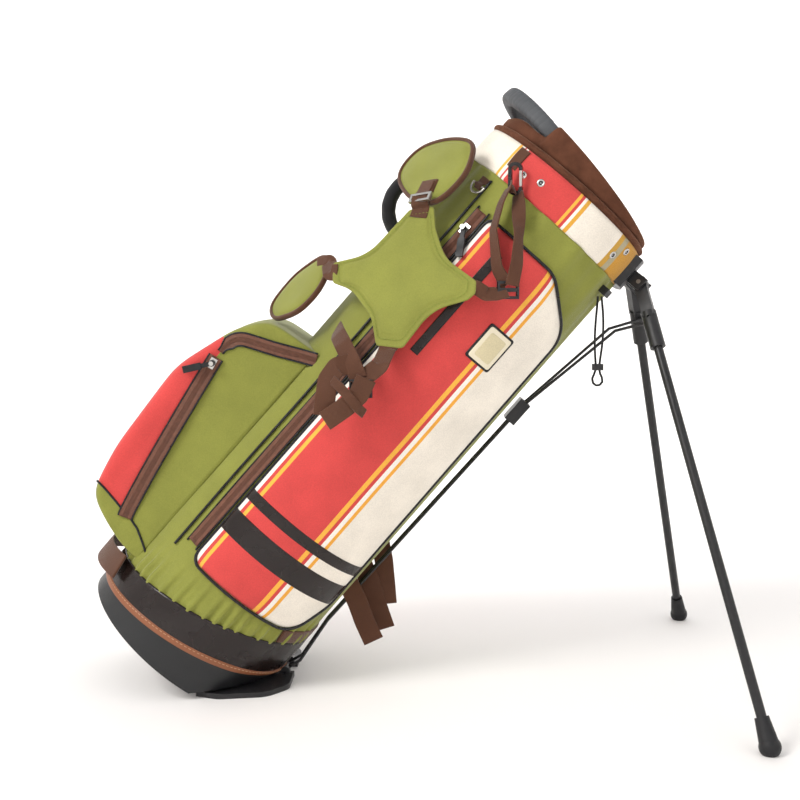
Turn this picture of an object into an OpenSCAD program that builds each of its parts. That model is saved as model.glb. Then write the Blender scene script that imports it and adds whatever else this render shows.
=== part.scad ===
// Leaning stand bag for golf clubs, standing on its two folding legs and its heel plate.
// Everything on the bag is drawn in the bag's own frame and then leaned over:
// X towards the spine (the side that faces down), Y across, Z up along the bag's axis.
// Z is 0 where the base trim ring crosses the axis.

/* [Fabric body] */
// Outside diameter of the fabric body just above the base
body_d_low = 266; // [240:1:300]
// Outside diameter of the fabric body under the collar
body_d_top = 254; // [230:1:290]
// Length of the fabric body, from the base trim to the collar
body_len = 713; // [640:1:860]
// Thickness of the padded fabric wall
body_wall = 5.5; // [4:0.5:8]
// Lean of the bag away from upright when it stands on its legs, in degrees
lean = 41; // [36:0.5:45]

/* [Collar and mouth] */
// Height of the collar band
collar_h = 48; // [36:1:70]
// Height of the soft trim on the rim
rim_h = 9.5; // [7:0.5:14]
// Wall of the moulded top frame inside the collar
frame_wall = 9; // [6:0.5:14]
// Width of the bars that divide the mouth
bar_w = 16; // [10:1:24]
// Slope of the padded mouth cuff, in degrees
cuff_slope = 9.4; // [6:0.2:12]
// Height of the padded mouth cuff above the rim, on the axis
cuff_h = 26; // [22:1:40]
// Thickness of the grab handle
grip_t = 20; // [16:1:26]
// How far the grab handle reaches from the axis
grip_reach = 147; // [141:1:165]

/* [Base] */
// Depth of the base below the trim ring, on the axis
base_h = 42; // [34:1:60]
// Distance from the axis to the ridge where the base bevel starts
ridge = 68.6; // [60:0.2:80]
// Wall of the moulded base
base_wall = 5; // [4:0.5:8]
// Height of the leatherette band, on the axis
band_h = 51; // [40:1:70]
// Height of the stitched trim ring
trim_h = 9; // [6:0.5:14]
// Thickness of the heel plate
heel_t = 7; // [6:0.5:9]
// Length of the heel plate behind its hinge pin
heel_len = 112; // [106:1:120]
// Diameter of the heel hinge pin
heel_pin_d = 5; // [4:0.5:6]

/* [Legs] */
// Diameter of the leg tubes
leg_d = 12; // [10:0.5:14]
// Angle that each leg swings out from the spine, in degrees
leg_swing = 57.5; // [50:0.5:62]
// Angle between each leg's hinge pin and straight across the bag, in degrees
leg_skew = 29.3; // [20:0.1:34]
// Distance from the axis to the leg hinges
hinge_out = 150; // [148:1:165]
// Distance of each leg hinge from the middle plane
hinge_side = 32; // [30:1:40]
// Diameter of the leg hinge pins
hinge_pin_d = 6; // [5:0.5:7]
// Distance down each leg from its hinge to the wire's pivot
wire_drop = 49; // [44:1:55]
// Diameter of the steel wires
wire_d = 4; // [3:0.5:5]
// Radius of the rubber feet
foot_r = 13; // [11:0.5:16]

/* [Pockets] */
// Thickness of the side pockets when filled
side_pocket_t = 8; // [5:0.5:16]
// How far the ball pocket stands out from the axis at its fullest
ball_reach = 236; // [200:1:260]
// Width of the ball pocket
ball_w = 150; // [120:1:170]
// Width of the zip tapes
zip_w = 17; // [12:1:22]

/* [Harness] */
// Thickness of the padded harness pieces
pad_t = 14; // [10:1:20]
// Thickness of the webbing
webbing_t = 2.4; // [1.6:0.2:3.2]
// Width of the harness webbing
webbing_w = 25; // [20:1:32]
// Width of the handle webbing at the base
loop_w = 34; // [25:1:40]

/* [Hidden] */
$fn = 96;
gap = 0.3;
run = 0.05;
lean_c = cos(lean);
lean_s = sin(lean);
// Height of the trim ring's centre above the floor, set by the ridge resting at floor level
trim_z = ridge * lean_s + base_h * lean_c;
base_r = body_d_low / 2 + 1;
collar_r = body_d_top / 2 - 1;
rim_z = body_len + collar_h;
cuff_z = rim_z + rim_h;
trim_slope = 9.7;
band_slope = 13.5;
// Hinge point of the left leg, and the direction the leg points when it is out
hinge_z = body_len + 23;
leg_dir = [cos(leg_skew) * sin(leg_swing), -sin(leg_skew) * sin(leg_swing), -cos(leg_swing)];
hinge_height = trim_z - hinge_out * lean_s + hinge_z * lean_c;
leg_fall = leg_dir.x * lean_s - leg_dir.z * lean_c;
sole = foot_r - 4;
leg_reach = (hinge_height - sole) / leg_fall;
foot_x = hinge_out * lean_c + hinge_z * lean_s
       + leg_reach * (leg_dir.x * lean_c + leg_dir.z * lean_s) + foot_r;
back_x = -base_r * lean_c - base_h * lean_s;
origin_x = -(foot_x + back_x) / 2;
// Points of the wires, in the bag's frame
wire_r = wire_d / 2;
wire_side = 9;
clip_p = [hinge_out - 7, 0, hinge_z - 231];
cross_p = [base_r + 6, 0, floor_z(base_r + 6, 8)];
eye_p = [hinge_out, -hinge_side, hinge_z] + wire_drop * leg_dir;
hinge_axis = [sin(leg_skew), cos(leg_skew), 0];
heel_pin_p = bag_point(24, 8);
// The elastic cord hangs as a narrow loop; millimetres on the floor frame, before centring
CORD = [[537, -67, 519], [536.4, -67.4, 510], [535.6, -67.8, 500], [534.8, -68, 490],
        [534.2, -68.2, 480], [533.8, -68.2, 470], [533.8, -68, 460], [534.2, -67.8, 450],
        [534.8, -67.4, 441], [535.6, -67, 432], [535.6, -66.8, 425], [533.6, -66.8, 419],
        [531.4, -66.9, 413.4], [532.6, -67, 408], [536.4, -67.1, 404.8], [541.2, -67.1, 405.4],
        [544.4, -67, 409.4], [543.8, -66.9, 415], [541.4, -66.8, 420], [540.4, -66.8, 425],
        [540.4, -67, 432], [541.4, -67.2, 441], [542.6, -67.4, 450], [543.6, -67.6, 460],
        [544.2, -67.6, 470], [544.4, -67.4, 480], [544.2, -67.2, 490], [543.6, -67, 500],
        [542.6, -66.6, 510], [541.6, -66.4, 519]];
cord_d = 3;
CORD_LOCK = [538, -66.9, 428.5];
// Body length that the cord's points are measured at, and how far they move when it changes
cord_body = 713;
cord_shift = (body_len - cord_body) * [lean_s, 0, lean_c];

// Radius of the fabric body at a height along the bag
function body_r(z) = body_d_low / 2 + (body_d_top - body_d_low) / 2 * z / body_len;
// Height along the bag of the point that is x from the axis and h above the floor
function floor_z(x, h) = (x * lean_s - trim_z + h) / lean_c;
// Bag-frame point of a place on the floor frame, x forward of the trim centre and h high
function bag_point(x, h) = [x * lean_c - (h - trim_z) * lean_s, 0, x * lean_s + (h - trim_z) * lean_c];
// Point on the body at an angle from the spine, a height and a distance off its surface
function on_body(a, z, off) = [(body_r(z) + off) * cos(a), (body_r(z) + off) * sin(a), z];
function unit(v) = v / norm(v);
// Outline with rounded corners, from points that each hold x, y and a radius
function rounded(pts, steps = 6) = [
    for (i = [0 : len(pts) - 1])
        let (p = pts[i],
             a = pts[(i + len(pts) - 1) % len(pts)],
             b = pts[(i + 1) % len(pts)],
             c = [p.x, p.y],
             ua = unit([a.x, a.y] - c),
             ub = unit([b.x, b.y] - c),
             half = acos(ua * ub) / 2,
             cut = p.z / tan(half),
             mid = c + unit(ua + ub) * p.z / sin(half),
             s = c + ua * cut - mid,
             e = c + ub * cut - mid,
             turn = atan2(s.x * e.y - s.y * e.x, s * e))
            for (k = [0 : steps])
                let (t = turn * k / steps)
                    mid + [s.x * cos(t) - s.y * sin(t), s.x * sin(t) + s.y * cos(t)]];

module on_floor() {
    translate([origin_x, 0, 0])
        children();
}

module on_bag() {
    translate([origin_x, 0, trim_z])
        rotate([0, lean, 0])
            children();
}

// Everything on the spine side of, or above, a plane that crosses the axis at z and slopes up to it
module above_slope(z, slope) {
    translate([0, 0, z])
        rotate([0, -slope, 0])
            translate([-400, -400, 0])
                cube([800, 800, 1200]);
}

// Everything at least h above the floor, in the bag's frame
module above_floor(h) {
    rotate([0, -lean, 0])
        translate([-1500, -600, h - trim_z])
            cube([3000, 1200, 1500]);
}

module ring(r_out, r_in, h) {
    rotate_extrude()
        translate([r_in, 0])
            square([r_out - r_in, h]);
}

// Solid between two cones that follow the body's taper, off to off + t outside it
module body_layer(off, t, z0, z1) {
    difference() {
        translate([0, 0, z0])
            cylinder(h = z1 - z0, r1 = body_r(z0) + off + t, r2 = body_r(z1) + off + t);
        translate([0, 0, z0 - 1])
            cylinder(h = z1 - z0 + 2, r1 = body_r(z0 - 1) + off, r2 = body_r(z1 + 1) + off);
    }
}

// A round rod from p to q with a ball at each bend
module rod_path(pts, r) {
    for (i = [0 : len(pts) - 2]) {
        v = pts[i + 1] - pts[i];
        translate(pts[i])
            rotate([0, acos(v.z / norm(v)), atan2(v.y, v.x)])
                cylinder(h = norm(v), r = r, $fn = 24);
    }
    for (i = [1 : 1 : len(pts) - 2])
        translate(pts[i])
            sphere(r = r + 0.08, $fn = 24);
}

// A flat strap from p to q, w wide across the given roll, t thick
module flat_strap(p, q, w, t, roll) {
    v = q - p;
    translate(p)
        rotate([0, acos(v.z / norm(v)), atan2(v.y, v.x)])
            rotate([0, 0, roll])
                translate([-t / 2, -w / 2, 0])
                    cube([t, w, norm(v)]);
}

// Places children on the body: X outwards, Y along the turn, Z up the bag
module at_body(a, z, off) {
    translate(on_body(a, z, off))
        rotate([0, 0, a])
            children();
}

module both_sides() {
    children();
    mirror([0, 1, 0])
        children();
}

// ---- Fabric body and what is inside it

module body_shell() {
    color("olivedrab")
        on_bag()
            difference() {
                translate([0, 0, -34])
                    cylinder(h = body_len + 33.7, r1 = body_r(-34), r2 = body_r(body_len - gap));
                translate([0, 0, -40])
                    cylinder(h = body_len + 80, r1 = body_r(-40) - body_wall,
                             r2 = body_r(body_len + 40) - body_wall);
                // The fabric ends round the base's upright lip, just inside the trim
                difference() {
                    translate([0, 0, -60])
                        cylinder(h = 160, r = 200);
                    intersection() {
                        above_slope(gap, trim_slope);
                        above_floor(heel_t + 1);
                    }
                }
            }
}

module floor_pad() {
    color("dimgray")
        on_bag()
            intersection() {
                translate([0, 0, base_wall - base_h + gap])
                    cylinder(h = 5, r = base_r - 13);
                // The floor rises over the bevel, so the pad stops short of it
                translate([-300, -300, -100])
                    cube([300 + ridge - 20, 600, 200]);
            }
}

module club_divider() {
    color("saddlebrown")
        on_bag()
            translate([-inner_r() + 8, -1, ridge])
                cube([2 * inner_r() - 16, 2, body_len - ridge - 2]);
}

// Inside radius of the fabric body at the collar
function inner_r() = body_r(body_len) - body_wall;

module spine_stays() {
    color("dimgray")
        on_bag()
            for (a = [60, -60, 180])
                rotate([0, 0, a])
                    translate([inner_r() - 4.5, 0, stay_foot(a)])
                        cylinder(h = body_len - stay_foot(a) - 1, r = 3.5, $fn = 32);
}

// The stays start on the base's floor, and over the bevel they start higher
function stay_foot(a) = a == 180 ? base_wall - base_h + 6 : 40;

// ---- Collar and mouth

module collar_band() {
    color("indianred")
        on_bag()
            translate([0, 0, body_len])
                ring(collar_r, frame_r() + gap, collar_h - gap);
}

// Outside radius of the moulded top frame
function frame_r() = inner_r() - 2.5;

module rim_trim() {
    color("saddlebrown")
        on_bag()
            translate([0, 0, rim_z])
                rotate_extrude()
                    translate([collar_r - 13, 0])
                        union() {
                            square([10, rim_h]);
                            translate([10, rim_h / 2])
                                circle(r = rim_h / 2, $fn = 32);
                        }
}

module top_frame() {
    color("black")
        on_bag() {
            translate([0, 0, body_len + 2])
                ring(frame_r(), frame_r() - frame_wall, collar_h - 2 - gap);
            // Two bars cross the mouth and part the clubs
            for (a = [0, 90])
                rotate([0, 0, a])
                    intersection() {
                        translate([-frame_r() + 4, -bar_core() / 2, rim_z - 30])
                            cube([2 * frame_r() - 8, bar_core(), 26]);
                        cylinder(h = 2000, r = frame_r() - 2);
                    }
        }
}

function bar_core() = bar_w - 8;

module divider_covers() {
    color("saddlebrown")
        on_bag()
            difference() {
                for (a = [0, 90])
                    rotate([0, 0, a])
                        translate([-cover_reach(), -bar_w / 2, rim_z - 34])
                            cube([2 * cover_reach(), bar_w, 40]);
                for (a = [0, 90])
                    rotate([0, 0, a])
                        translate([-200, -bar_core() / 2 - gap, rim_z - 30 - gap])
                            cube([400, bar_core() + 2 * gap, 26 + 2 * gap]);
            }
}

function cover_reach() = frame_r() - frame_wall - 1.5;

// The padded cuff stands on the rim: high round the spine half, low under the handle
module mouth_cuff() {
    color("saddlebrown")
        on_bag()
            difference() {
                translate([0, 0, cuff_z + gap])
                    ring(collar_r - 1, collar_r - 24, 90);
                difference() {
                    above_slope(cuff_z + cuff_h, -cuff_slope);
                    translate([-400, -400, 0])
                        cube([400 - cuff_step, 800, 2000]);
                }
                translate([-400, -400, cuff_z + 13])
                    cube([400 - cuff_step, 800, 200]);
            }
}

// The cuff steps down under the handle at this distance from the axis
cuff_step = 60;
grip_ring_r = grip_reach - 47.6 - grip_t / 2;
function cuff_top(x) = cuff_z + cuff_h - x * tan(cuff_slope);

// The handle is a half ring in the cuff's sloping plane
module grip_plane() {
    translate([-47.6, 0, cuff_top(-47.6) - grip_t / 2])
        rotate([0, cuff_slope, 0])
            children();
}

module grab_grip() {
    color("dimgray")
        on_bag()
            grip_plane()
                rotate([0, 0, 100])
                    rotate_extrude(angle = 160)
                        translate([grip_ring_r, 0])
                            difference() {
                                circle(r = grip_t / 2, $fn = 48);
                                circle(r = 4 + gap / 2, $fn = 24);
                            }
}

module grip_core() {
    color("black")
        on_bag()
            grip_plane()
                rotate([0, 0, 100])
                    rotate_extrude(angle = 160)
                        translate([grip_ring_r, 0])
                            circle(r = 4, $fn = 24);
}

module rivets() {
    color("silver")
        on_bag()
            both_sides()
                for (p = [[-117, 0.42], [-106, 0.55], [-44, 0.46], [-36, 0.78]])
                    rotate([0, 0, p[0]])
                        translate([collar_r + gap, 0, body_len + p[1] * collar_h])
                            rotate([0, 90, 0]) {
                                cylinder(h = 1.6, r = 5, $fn = 32);
                                translate([0, 0, 1.6])
                                    cylinder(h = 1.4, r1 = 3.6, r2 = 2.6, $fn = 32);
                            }
}

// ---- Base, heel plate and the wires that it pushes

module base_cup() {
    color("dimgray")
        on_bag()
            difference() {
                union() {
                    intersection() {
                        translate([0, 0, -base_h])
                            cylinder(h = 200, r = base_r);
                        above_floor(heel_t + 2.5);
                        below_slope(0, trim_slope);
                    }
                    // Lip that the fabric body is fixed round
                    intersection() {
                        translate([0, 0, -base_h])
                            cylinder(h = 200, r = body_r(0) - body_wall - 1);
                        above_floor(heel_t + 2.5);
                        below_slope(18, trim_slope);
                    }
                    // Two lugs that hold the heel pin
                    both_sides()
                        translate(heel_pin_p + [0, 82, 0])
                            rotate([-90, 0, 0])
                                cylinder(h = 12, r = 7.2);
                }
                // Inside of the base, and its floor over the bevel
                intersection() {
                    translate([0, 0, base_wall - base_h])
                        cylinder(h = 300, r = body_r(0) - body_wall - 1 - base_wall);
                    above_floor(heel_t + 2.5 + base_wall);
                }
                // Room for the heel plate's barrel
                translate(heel_pin_p + [0, -82, 0])
                    rotate([-90, 0, 0])
                        cylinder(h = 164, r = 7.6);
                translate(heel_pin_p + [0, -100, 0])
                    rotate([-90, 0, 0])
                        cylinder(h = 200, r = heel_pin_d / 2);
            }
}

module below_slope(z, slope) {
    translate([0, 0, z])
        rotate([0, -slope, 0])
            translate([-400, -400, -1200])
                cube([800, 800, 1200]);
}

module base_band() {
    color("#3b2a25")
        on_bag()
            intersection() {
                body_layer(gap, 2.2, -60, 140);
                above_slope(trim_h, trim_slope);
                below_slope(band_h, band_slope);
            }
}

module base_trim() {
    color("sienna")
        on_bag()
            intersection() {
                translate([0, 0, -60])
                    ring(base_r + 2.4, base_r + gap, 200);
                above_floor(heel_t + 1);
                above_slope(0, trim_slope);
                below_slope(trim_h - gap, trim_slope);
            }
}

// Webbing across the spine, on top of the leatherette band
module spine_band() {
    color("saddlebrown")
        on_bag()
            intersection() {
                body_layer(gap, webbing_t, 0, 200);
                above_slope(band_h + gap, band_slope);
                below_slope(band_h + 21, band_slope);
                translate([0.7 * base_r, -200, 0])
                    cube([100, 400, 300]);
            }
}

module heel_pin() {
    color("silver")
        on_bag()
            translate(heel_pin_p + [0, -94, 0])
                rotate([-90, 0, 0])
                    cylinder(h = 188, r = heel_pin_d / 2);
}

module heel_plate() {
    color("black")
        on_floor()
            difference() {
                union() {
                    // Broad plate with rounded corners that lies flat on the floor
                    linear_extrude(height = heel_t)
                        polygon(rounded([[19, -106, 5], [19, 106, 5], [50, 117, 24],
                                         [heel_len, 106, 30], [26 + heel_len, 74, 24],
                                         [26 + heel_len, -74, 24], [heel_len, -106, 30],
                                         [50, -117, 24]]));
                    translate([24, -81.4, 8])
                        rotate([-90, 0, 0])
                            cylinder(h = 162.8, r = 7);
                    // Two ears that carry the wire's cross bar, clear of the base band
                    difference() {
                        for (y = [-28, 20])
                            translate([cross_x, y, 8])
                                rotate([-90, 0, 0])
                                    cylinder(h = 8, r = 7.5);
                        translate([0, 0, trim_z])
                            rotate([0, lean, 0])
                                translate([0, 0, -60])
                                    cylinder(h = 200, r = base_r + 2.9);
                    }
                }
                translate([24, -90, 8])
                    rotate([-90, 0, 0])
                        cylinder(h = 180, r = heel_pin_d / 2 + run);
                translate([cross_x, -40, 8])
                    rotate([-90, 0, 0])
                        cylinder(h = 80, r = wire_r + run);
                // Notches round the base's two lugs
                for (y = [-94.6, 81.4])
                    translate([10, y, -1])
                        cube([22, 13.2, 20]);
                // Slot through which the wires leave
                translate([cross_x - 9, -19, -1])
                    cube([60, 38, 30]);
            }
}

// Where the cross bar lies on the floor frame
cross_x = cross_p.x * lean_c + cross_p.z * lean_s;

module actuator() {
    color("black")
        on_bag() {
            rod_path([cross_p + [0, -27.5, 0], cross_p + [0, 27.5, 0]], wire_r);
            both_sides()
                rod_path([cross_p + [0, -14, 0], cross_p + [7, -13, 22],
                          [base_r + 5, -wire_side, 118], clip_p + [0, -wire_side, -16]], wire_r);
            // Clip that joins the wires and takes the ends of the upper pair
            difference() {
                translate(clip_p + [-8, -17, -17])
                    cube([16, 34, 34]);
                both_sides()
                    translate(clip_p + [0, -wire_side, -7])
                        cylinder(h = 40, r1 = 5.2, r2 = 8.6);
            }
        }
}

// ---- Legs

// Left leg's frame: origin on the hinge, -Z down the leg, Y along the hinge pin towards the middle
module leg_frame() {
    translate([hinge_out, -hinge_side, hinge_z])
        rotate([0, 0, -leg_skew])
            rotate([0, -leg_swing, 0])
                children();
}

module knuckle() {
    color("#222222")
        on_bag()
            leg_frame()
                difference() {
                    union() {
                        rotate([-90, 0, 0])
                            translate([0, 0, -8])
                                cylinder(h = 16, r = 10);
                        translate([-8, -8, -46])
                            cube([16, 16, 46]);
                        translate([0, 0, -90])
                            cylinder(h = 50, r = leg_d / 2 + 4);
                    }
                    rotate([-90, 0, 0])
                        translate([0, 0, -20])
                            cylinder(h = 40, r = hinge_pin_d / 2 + run);
                    translate([0, 0, -wire_drop])
                        rotate([-90, 0, 0])
                            translate([0, 0, -20])
                                cylinder(h = 40, r = wire_r + run);
                    translate([0, 0, -91])
                        cylinder(h = 34, r = leg_d / 2 + run);
                }
}

module leg_tube() {
    color("black")
        on_bag()
            leg_frame()
                difference() {
                    translate([0, 0, -leg_reach + 6])
                        cylinder(h = leg_reach - 6 - 58, r = leg_d / 2);
                    translate([0, 0, -leg_reach])
                        cylinder(h = leg_reach - 60, r = leg_d / 2 - 1.2);
                }
}

module foot() {
    color("#303030")
        on_bag()
            difference() {
                leg_frame() {
                    translate([0, 0, -leg_reach])
                        sphere(r = foot_r, $fn = 64);
                    translate([0, 0, -leg_reach])
                        cylinder(h = 34, r1 = foot_r - 1, r2 = leg_d / 2 + 2.5);
                }
                leg_frame()
                    translate([0, 0, -leg_reach + 5])
                        cylinder(h = 60, r = leg_d / 2 + run);
                // Flat sole on the floor
                rotate([0, -lean, 0])
                    translate([-1500, -600, -500 - trim_z])
                        cube([3000, 1200, 500]);
            }
}

module leg_bracket() {
    color("black")
        on_bag()
            difference() {
                union() {
                    // Saddle against the collar, behind both hinges
                    intersection() {
                        translate([collar_r - 12, -46, body_len + 2])
                            cube([hinge_out - collar_r - 1, 92, collar_h - 3]);
                        cylinder(h = 2000, r = hinge_out - 12);
                    }
                    // Cheeks on each side of the two barrels
                    both_sides()
                        translate([hinge_out, -hinge_side, hinge_z])
                            rotate([0, 0, -leg_skew])
                                for (y = [-12.5, 8.5])
                                    translate([-22, y, -9])
                                        cube([30, 4, 18]);
                }
                cylinder(h = 2000, r = body_r(body_len) + 2 * gap);
                both_sides()
                    translate([hinge_out, -hinge_side, hinge_z])
                        rotate([0, 0, -leg_skew]) {
                            // Room for the barrel and its leg to swing
                            translate([0, 0, -60])
                                translate([-11, -8.5, 0])
                                    cube([60, 17, 120]);
                            rotate([-90, 0, 0])
                                translate([0, 0, -30])
                                    cylinder(h = 60, r = hinge_pin_d / 2);
                        }
            }
}

module hinge_pins() {
    color("silver")
        on_bag()
            both_sides()
                translate([hinge_out, -hinge_side, hinge_z])
                    rotate([0, 0, -leg_skew])
                        rotate([-90, 0, 0])
                            translate([0, 0, -12.4])
                                cylinder(h = 24.8, r = hinge_pin_d / 2);
}

// Upper wire of the left leg: a stub in the knuckle, a bend, and a straight run to the clip
module wire() {
    color("black")
        on_bag()
            rod_path([eye_p - 7.5 * hinge_axis, eye_p + (leg_d / 2 + 7) * hinge_axis,
                      eye_p + [-20, 22, -40], clip_p + [0, -wire_side, 6]], wire_r);
}

// ---- Pockets and zips

// Outline of the side pocket's panel, seen from the side
function panel_outline() = [
    [-56, 97, 14], [-54, body_len - 47, 8], [52, body_len - 47, 40],
    [116, body_len - 96, 44], [121, 150, 60], [104, 97, 30]];

module side_pocket() {
    color("indianred")
        on_bag()
            intersection() {
                body_layer(gap, side_pocket_t, 60, body_len - 10);
                rotate([90, 0, 0])
                    linear_extrude(height = 200)
                        polygon(rounded(panel_outline()));
            }
}

// The side zip runs straight up the body at this angle from the spine
zip_a = -121;
zip_from = 112;
function zip_to() = body_len - 46;
slider_z = body_len - 76;

// Frame on the side zip at a height: X out of the bag, Z up the zip
module side_zip_frame(z) {
    at_body(zip_a, z, 2)
        rotate([0, -atan2((body_d_low - body_d_top) / 2, body_len), 0])
            children();
}

module side_zip() {
    color("saddlebrown")
        on_bag()
            side_zip_frame(zip_from)
                translate([-0.9, -zip_w / 2, 0])
                    cube([1.8, zip_w, zip_to() - zip_from]);
}

// A zip slider with the stud that its pull swivels on; X out of the cloth, Z up the zip
module slider() {
    translate([1.2, -4.5, -7])
        cube([3.2, 9, 14]);
    rotate([0, 90, 0]) {
        translate([0, 0, 1.2])
            cylinder(h = 11, r = 1.6, $fn = 32);
        translate([0, 0, 11])
            cylinder(h = 1.6, r = 3, $fn = 32);
    }
}

// The pull that swivels on a slider's stud, hanging down its own -Z
module pull() {
    difference() {
        union() {
            translate([7.4, -3, -16])
                cube([2, 6, 16]);
            translate([7.4, 0, 0])
                rotate([0, 90, 0])
                    cylinder(h = 2, r = 4, $fn = 32);
            translate([6.8, -4.6, -38])
                cube([3.4, 9.2, 24]);
        }
        rotate([0, 90, 0])
            cylinder(h = 30, r = 1.6 + run, $fn = 32);
    }
}

module side_slider() {
    color("silver")
        on_bag()
            side_zip_frame(slider_z)
                slider();
}

// The side pull hangs towards the spine, as the bag leans
module side_pull() {
    color("black")
        on_bag()
            side_zip_frame(slider_z)
                rotate([side_hang, 0, 0])
                    pull();
}

// Angle between the side zip and straight down, in the plane of the cloth
side_hang = atan2(lean_s * sin(-zip_a), lean_c);

// Side outline of the ball pocket
function ball_outline() = [
    [-100, 32, 2], [-150, 34, 20], [-ball_reach + 24, 58, 18], [-ball_reach + 8, 130, 60],
    [-ball_reach, 262, 40], [-ball_reach + 28, 352, 14], [-ball_reach + 54, 382, 14],
    [-100, 392, 2]];

module ball_pocket() {
    color("olivedrab")
        on_bag()
            difference() {
                rotate([90, 0, 0])
                    linear_extrude(height = ball_w, center = true)
                        polygon(rounded(ball_outline()));
                translate([0, 0, -20])
                    cylinder(h = 460, r1 = body_r(-20) + 3.2, r2 = body_r(440) + 3.2);
            }
}

ball_zip_low = [-ball_reach + 78, -ball_w / 2 - 1.2, 66];
ball_zip_high = [-ball_reach + 33, -ball_w / 2 - 1.2, 306];
ball_zip_len = norm(ball_zip_high - ball_zip_low);

// Frame of the ball pocket's zip: Z up the zip, X out of the pocket's side
module ball_zip_frame() {
    v = ball_zip_high - ball_zip_low;
    translate(ball_zip_low)
        rotate([0, atan2(v.x, v.z), 0])
            rotate([0, 0, -90])
                children();
}

module ball_zip() {
    color("saddlebrown")
        on_bag()
            ball_zip_frame()
                translate([-0.8, -zip_w / 2, 0])
                    cube([1.6, zip_w, ball_zip_len]);
}

module ball_slider() {
    color("silver")
        on_bag()
            ball_zip_frame()
                translate([0, 0, ball_zip_len - 9])
                    slider();
}

// The ball pocket's pull is held out level, away from the bag
module ball_pull() {
    color("black")
        on_bag()
            ball_zip_frame()
                translate([0, 0, ball_zip_len - 9])
                    rotate([-47, 0, 0])
                        pull();
}

module label_patch() {
    color("beige")
        on_bag()
            at_body(-68, body_len - 166, side_pocket_t + 2 * gap)
                translate([0, -20, -26])
                    cube([1.6, 40, 51]);
}

// ---- Harness, straps and small fittings

// Frame of the hub pad: X out of the pad, Y towards the spine, Z up the bag
module hub_frame() {
    translate([-88, -118, body_len - 171])
        rotate([0, 0, -120])
            children();
}

function hub_outline() = [
    [-52, 69, 6], [-29, 92, 6], [-6, 72, 50], [32, 52, 60], [86, 56, 5], [96, 44, 5], [94, 32, 5],
    [66, -6, 60], [70, -64, 8], [40, -84, 8], [8, -62, 50], [-40, -54, 50], [-68, -64, 5],
    [-88, -46, 5], [-56, -8, 60]];

module harness_hub() {
    color("yellowgreen")
        on_bag()
            hub_frame()
                rotate([90, 0, 90])
                    linear_extrude(height = pad_t)
                        polygon(rounded(hub_outline(), 4));
}

module shoulder_frame() {
    translate([-145, -62, body_len - 45])
        rotate([0, 0, -145])
            children();
}

module shoulder_pad() {
    color("yellowgreen")
        on_bag()
            shoulder_frame()
                rotate([90, 0, 90])
                    linear_extrude(height = pad_t)
                        polygon(rounded([[-60, -34, 20], [-56, 14, 20], [-14, 44, 30],
                                         [36, 60, 8], [70, 20, 14], [62, -34, 22],
                                         [4, -46, 20]], 4));
}

module loop_buckle() {
    color("silver")
        on_bag()
            translate([-134, -105.5, body_len - 82.5])
                rotate([0, 0, -145])
                    rotate([31.5, 0, 0])
                        rotate([90, 0, 90])
                            difference() {
                                linear_extrude(height = 4)
                                    square([36, 12], center = true);
                                translate([0, 0, -1])
                                    linear_extrude(height = 6)
                                        square([28, 6], center = true);
                            }
}

module lower_pad() {
    color("yellowgreen")
        on_bag()
            translate([-176, -36, body_len - 268])
                rotate([0, 0, -150])
                    rotate([90, 0, 90])
                        linear_extrude(height = pad_t)
                            polygon(rounded([[-6, 52, 8], [-34, 4, 30], [-32, -50, 8], [4, -58, 8],
                                             [44, -24, 20], [48, 14, 8], [24, 48, 8]], 4));
}

module carry_handle() {
    color("black")
        on_bag()
            translate([-128.5, 24, body_len - 90])
                rotate([90, 0, 0])
                    rotate([0, 0, 90])
                        rotate_extrude(angle = 180)
                            translate([46, 0])
                                circle(r = 11, $fn = 32);
}

module front_strap() {
    color("saddlebrown")
        on_bag() {
            flat_strap([-51, -128, body_len - 15], [6, -148, body_len - 87], 18, webbing_t, 55);
            flat_strap([-45, -135, body_len - 10], [13, -155, body_len - 84], 18, webbing_t, 70);
            flat_strap([27, -160, body_len - 110], [3, -171, body_len - 121], 18, webbing_t, 88);
        }
}

// Ladder slide: X through it, Z across its bars
module ladder_slide() {
    difference() {
        cube([4, 28, 22], center = true);
        for (z = [-5, 5])
            translate([0, 0, z])
                cube([8, 22, 5], center = true);
    }
}

module strap_slides() {
    color("black")
        on_bag() {
            translate([19, -156, body_len - 98])
                rotate([0, -lean, 0])
                    rotate([0, 0, -70])
                        ladder_slide();
            translate([-37, -178, body_len - 303])
                rotate([0, -lean, 0])
                    rotate([0, 0, -100])
                        ladder_slide();
        }
}

// Hook that hangs at the collar from its webbing tab
module carabiner_frame() {
    translate([-62, -124, body_len + 10])
        rotate([0, -lean, 0])
            rotate([0, 0, -20])
                children();
}

module hanger_tab() {
    color("saddlebrown")
        on_bag()
            rotate([0, 0, -126])
                translate([collar_r + gap, -8, body_len + 18])
                    cube([2.2, 16, 29]);
}

module carabiner() {
    color("black")
        on_bag()
            carabiner_frame()
                difference() {
                    union() {
                        rotate([90, 0, 0])
                            linear_extrude(height = 5, center = true)
                                polygon(rounded([[-9, -20, 8], [9, -20, 8], [9, 20, 8], [-9, 20, 8]]));
                    }
                    rotate([90, 0, 0])
                        linear_extrude(height = 20, center = true)
                            polygon(rounded([[-4.6, -15.6, 4], [4.6, -15.6, 4],
                                             [4.6, 15.6, 4], [-4.6, 15.6, 4]]));
                    // Gap that the gate closes
                    translate([7, 0, 0])
                        cube([6, 12, 20], center = true);
                }
}

module carabiner_gate() {
    color("silver")
        on_bag()
            carabiner_frame()
                translate([6.9, 0, -7.9]) {
                    rotate([90, 0, 0])
                        cylinder(h = 4, r = 1.7, center = true, $fn = 32);
                    translate([-1.7, -2, 0])
                        cube([3.4, 4, 17.4]);
                }
}

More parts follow.
